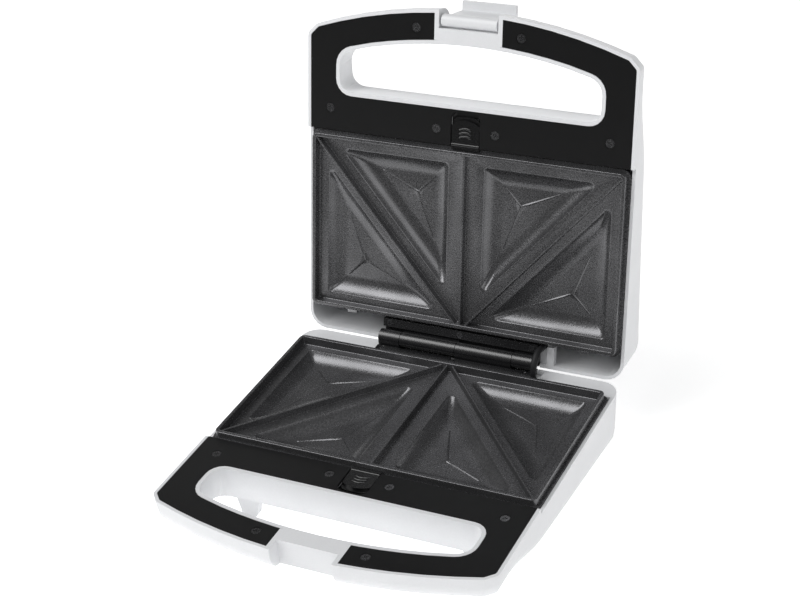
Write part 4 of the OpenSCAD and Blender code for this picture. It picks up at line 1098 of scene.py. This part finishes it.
class TOASTER_OT_buttons(bpy.types.Operator):
    """Eases the two release buttons, adds their ridges and feet, and coils their springs"""

    bl_idname = "toaster.buttons"
    bl_label = "Release buttons"

    def execute(self, context):
        for half, matrix in HALVES.items():
            node = half + "_release_button"
            bm = compacted(eased_copy(node, context.scene.toaster_sizes.cover_round))
            add_button_relief(bm, matrix)
            add_button_foot(bm, matrix)
            piece(half + "_button_moulding", bm, Matrix.Identity(4), half + "_button",
                  MATERIALS["button"], "black_plastic", node)
            build_release_spring(half, matrix)
        return {"FINISHED"}


class TOASTER_OT_hinge(bpy.types.Operator):
    """Eases the hinge's two leaves, finishes its pin and screws and bends the wire sleeve round it"""

    bl_idname = "toaster.hinge"
    bl_label = "Hinge"

    def execute(self, context):
        for half in HALVES:
            dress(half + "_leaf_moulding", half + "_hinge_leaf", half, "hinge", "hinge_plastic",
                  context.scene.toaster_sizes.cover_round)
            paint("screw", half + "_hinge_screws")
        paint("zinc", "hinge_pin")
        build_wire_sleeve()
        return {"FINISHED"}


class TOASTER_OT_latch(bpy.types.Operator):
    """Rounds the latch clip and finishes its pin"""

    bl_idname = "toaster.latch"
    bl_label = "Latch"

    def execute(self, context):
        dress("latch_moulding", "latch_clip", "latch", "white", "white_plastic",
              context.scene.toaster_sizes.shell_round)
        paint("zinc", "latch_pin")
        return {"FINISHED"}


class TOASTER_OT_heaters(bpy.types.Operator):
    """Finishes the heating elements, their brackets, reflectors and screws, and the plates' hooks"""

    bl_idname = "toaster.heaters"
    bl_label = "Heaters"

    def execute(self, context):
        for half in HALVES:
            paint("element", half + "_heating_element")
            paint("reflector", half + "_reflector")
            paint("zinc", half + "_element_brackets", half + "_reflector_screws", half + "_plate_hooks")
            paint("screw", half + "_panel_screws")
        return {"FINISHED"}


class TOASTER_OT_electrics(bpy.types.Operator):
    """Finishes the wiring, terminals, thermostat, fuse, lamps and the feet's pads"""

    bl_idname = "toaster.electrics"
    bl_label = "Electrics and pads"

    def execute(self, context):
        paint("zinc", "thermal_fuse")
        paint("ceramic", "terminal_block", "thermostat")
        paint("wire", "base_wiring", "lid_wiring")
        paint("red", "power_lamp_lens")
        paint("green", "ready_lamp_lens")
        paint("glass", "indicator_lamps")
        paint("rubber", "rear_foot_pads")
        return {"FINISHED"}


class TOASTER_OT_stage(bpy.types.Operator):
    """Sets out the sheet, the softboxes and the camera"""

    bl_idname = "toaster.stage"
    bl_label = "Stage"

    def execute(self, context):
        build_stage(context.scene.toaster_light)
        return {"FINISHED"}


OPERATORS = [
    TOASTER_OT_finishes,
    TOASTER_OT_shells,
    TOASTER_OT_cooking_plates,
    TOASTER_OT_covers,
    TOASTER_OT_buttons,
    TOASTER_OT_hinge,
    TOASTER_OT_latch,
    TOASTER_OT_heaters,
    TOASTER_OT_electrics,
    TOASTER_OT_stage,
]
GROUPS = {"toaster_sizes": ToasterSizes, "toaster_colours": ToasterColours, "toaster_light": ToasterLight}


class TOASTER_PT_pieces(bpy.types.Panel):
    """Lists the sizes, colours, lights and operators that build the toaster"""

    bl_idname = "TOASTER_PT_pieces"
    bl_label = "Sandwich toaster"
    bl_space_type = "VIEW_3D"
    bl_region_type = "UI"
    bl_category = "Toaster"

    def draw(self, context):
        for group, kind in GROUPS.items():
            box = self.layout.box()
            for name in kind.__annotations__:
                box.prop(getattr(context.scene, group), name)
        for operator in OPERATORS:
            self.layout.operator(operator.bl_idname)


CLASSES = [*GROUPS.values(), *OPERATORS, TOASTER_PT_pieces]


def register():
    for cls in CLASSES:
        bpy.utils.register_class(cls)
    for name, kind in GROUPS.items():
        setattr(bpy.types.Scene, name, bpy.props.PointerProperty(type=kind))


def unregister():
    for name in GROUPS:
        delattr(bpy.types.Scene, name)
    for cls in reversed(CLASSES):
        bpy.utils.unregister_class(cls)


def main():
    register()
    for operator in OPERATORS:
        group, name = operator.bl_idname.split(".")
        getattr(getattr(bpy.ops, group), name)()


if __name__ == "__main__":
    main()
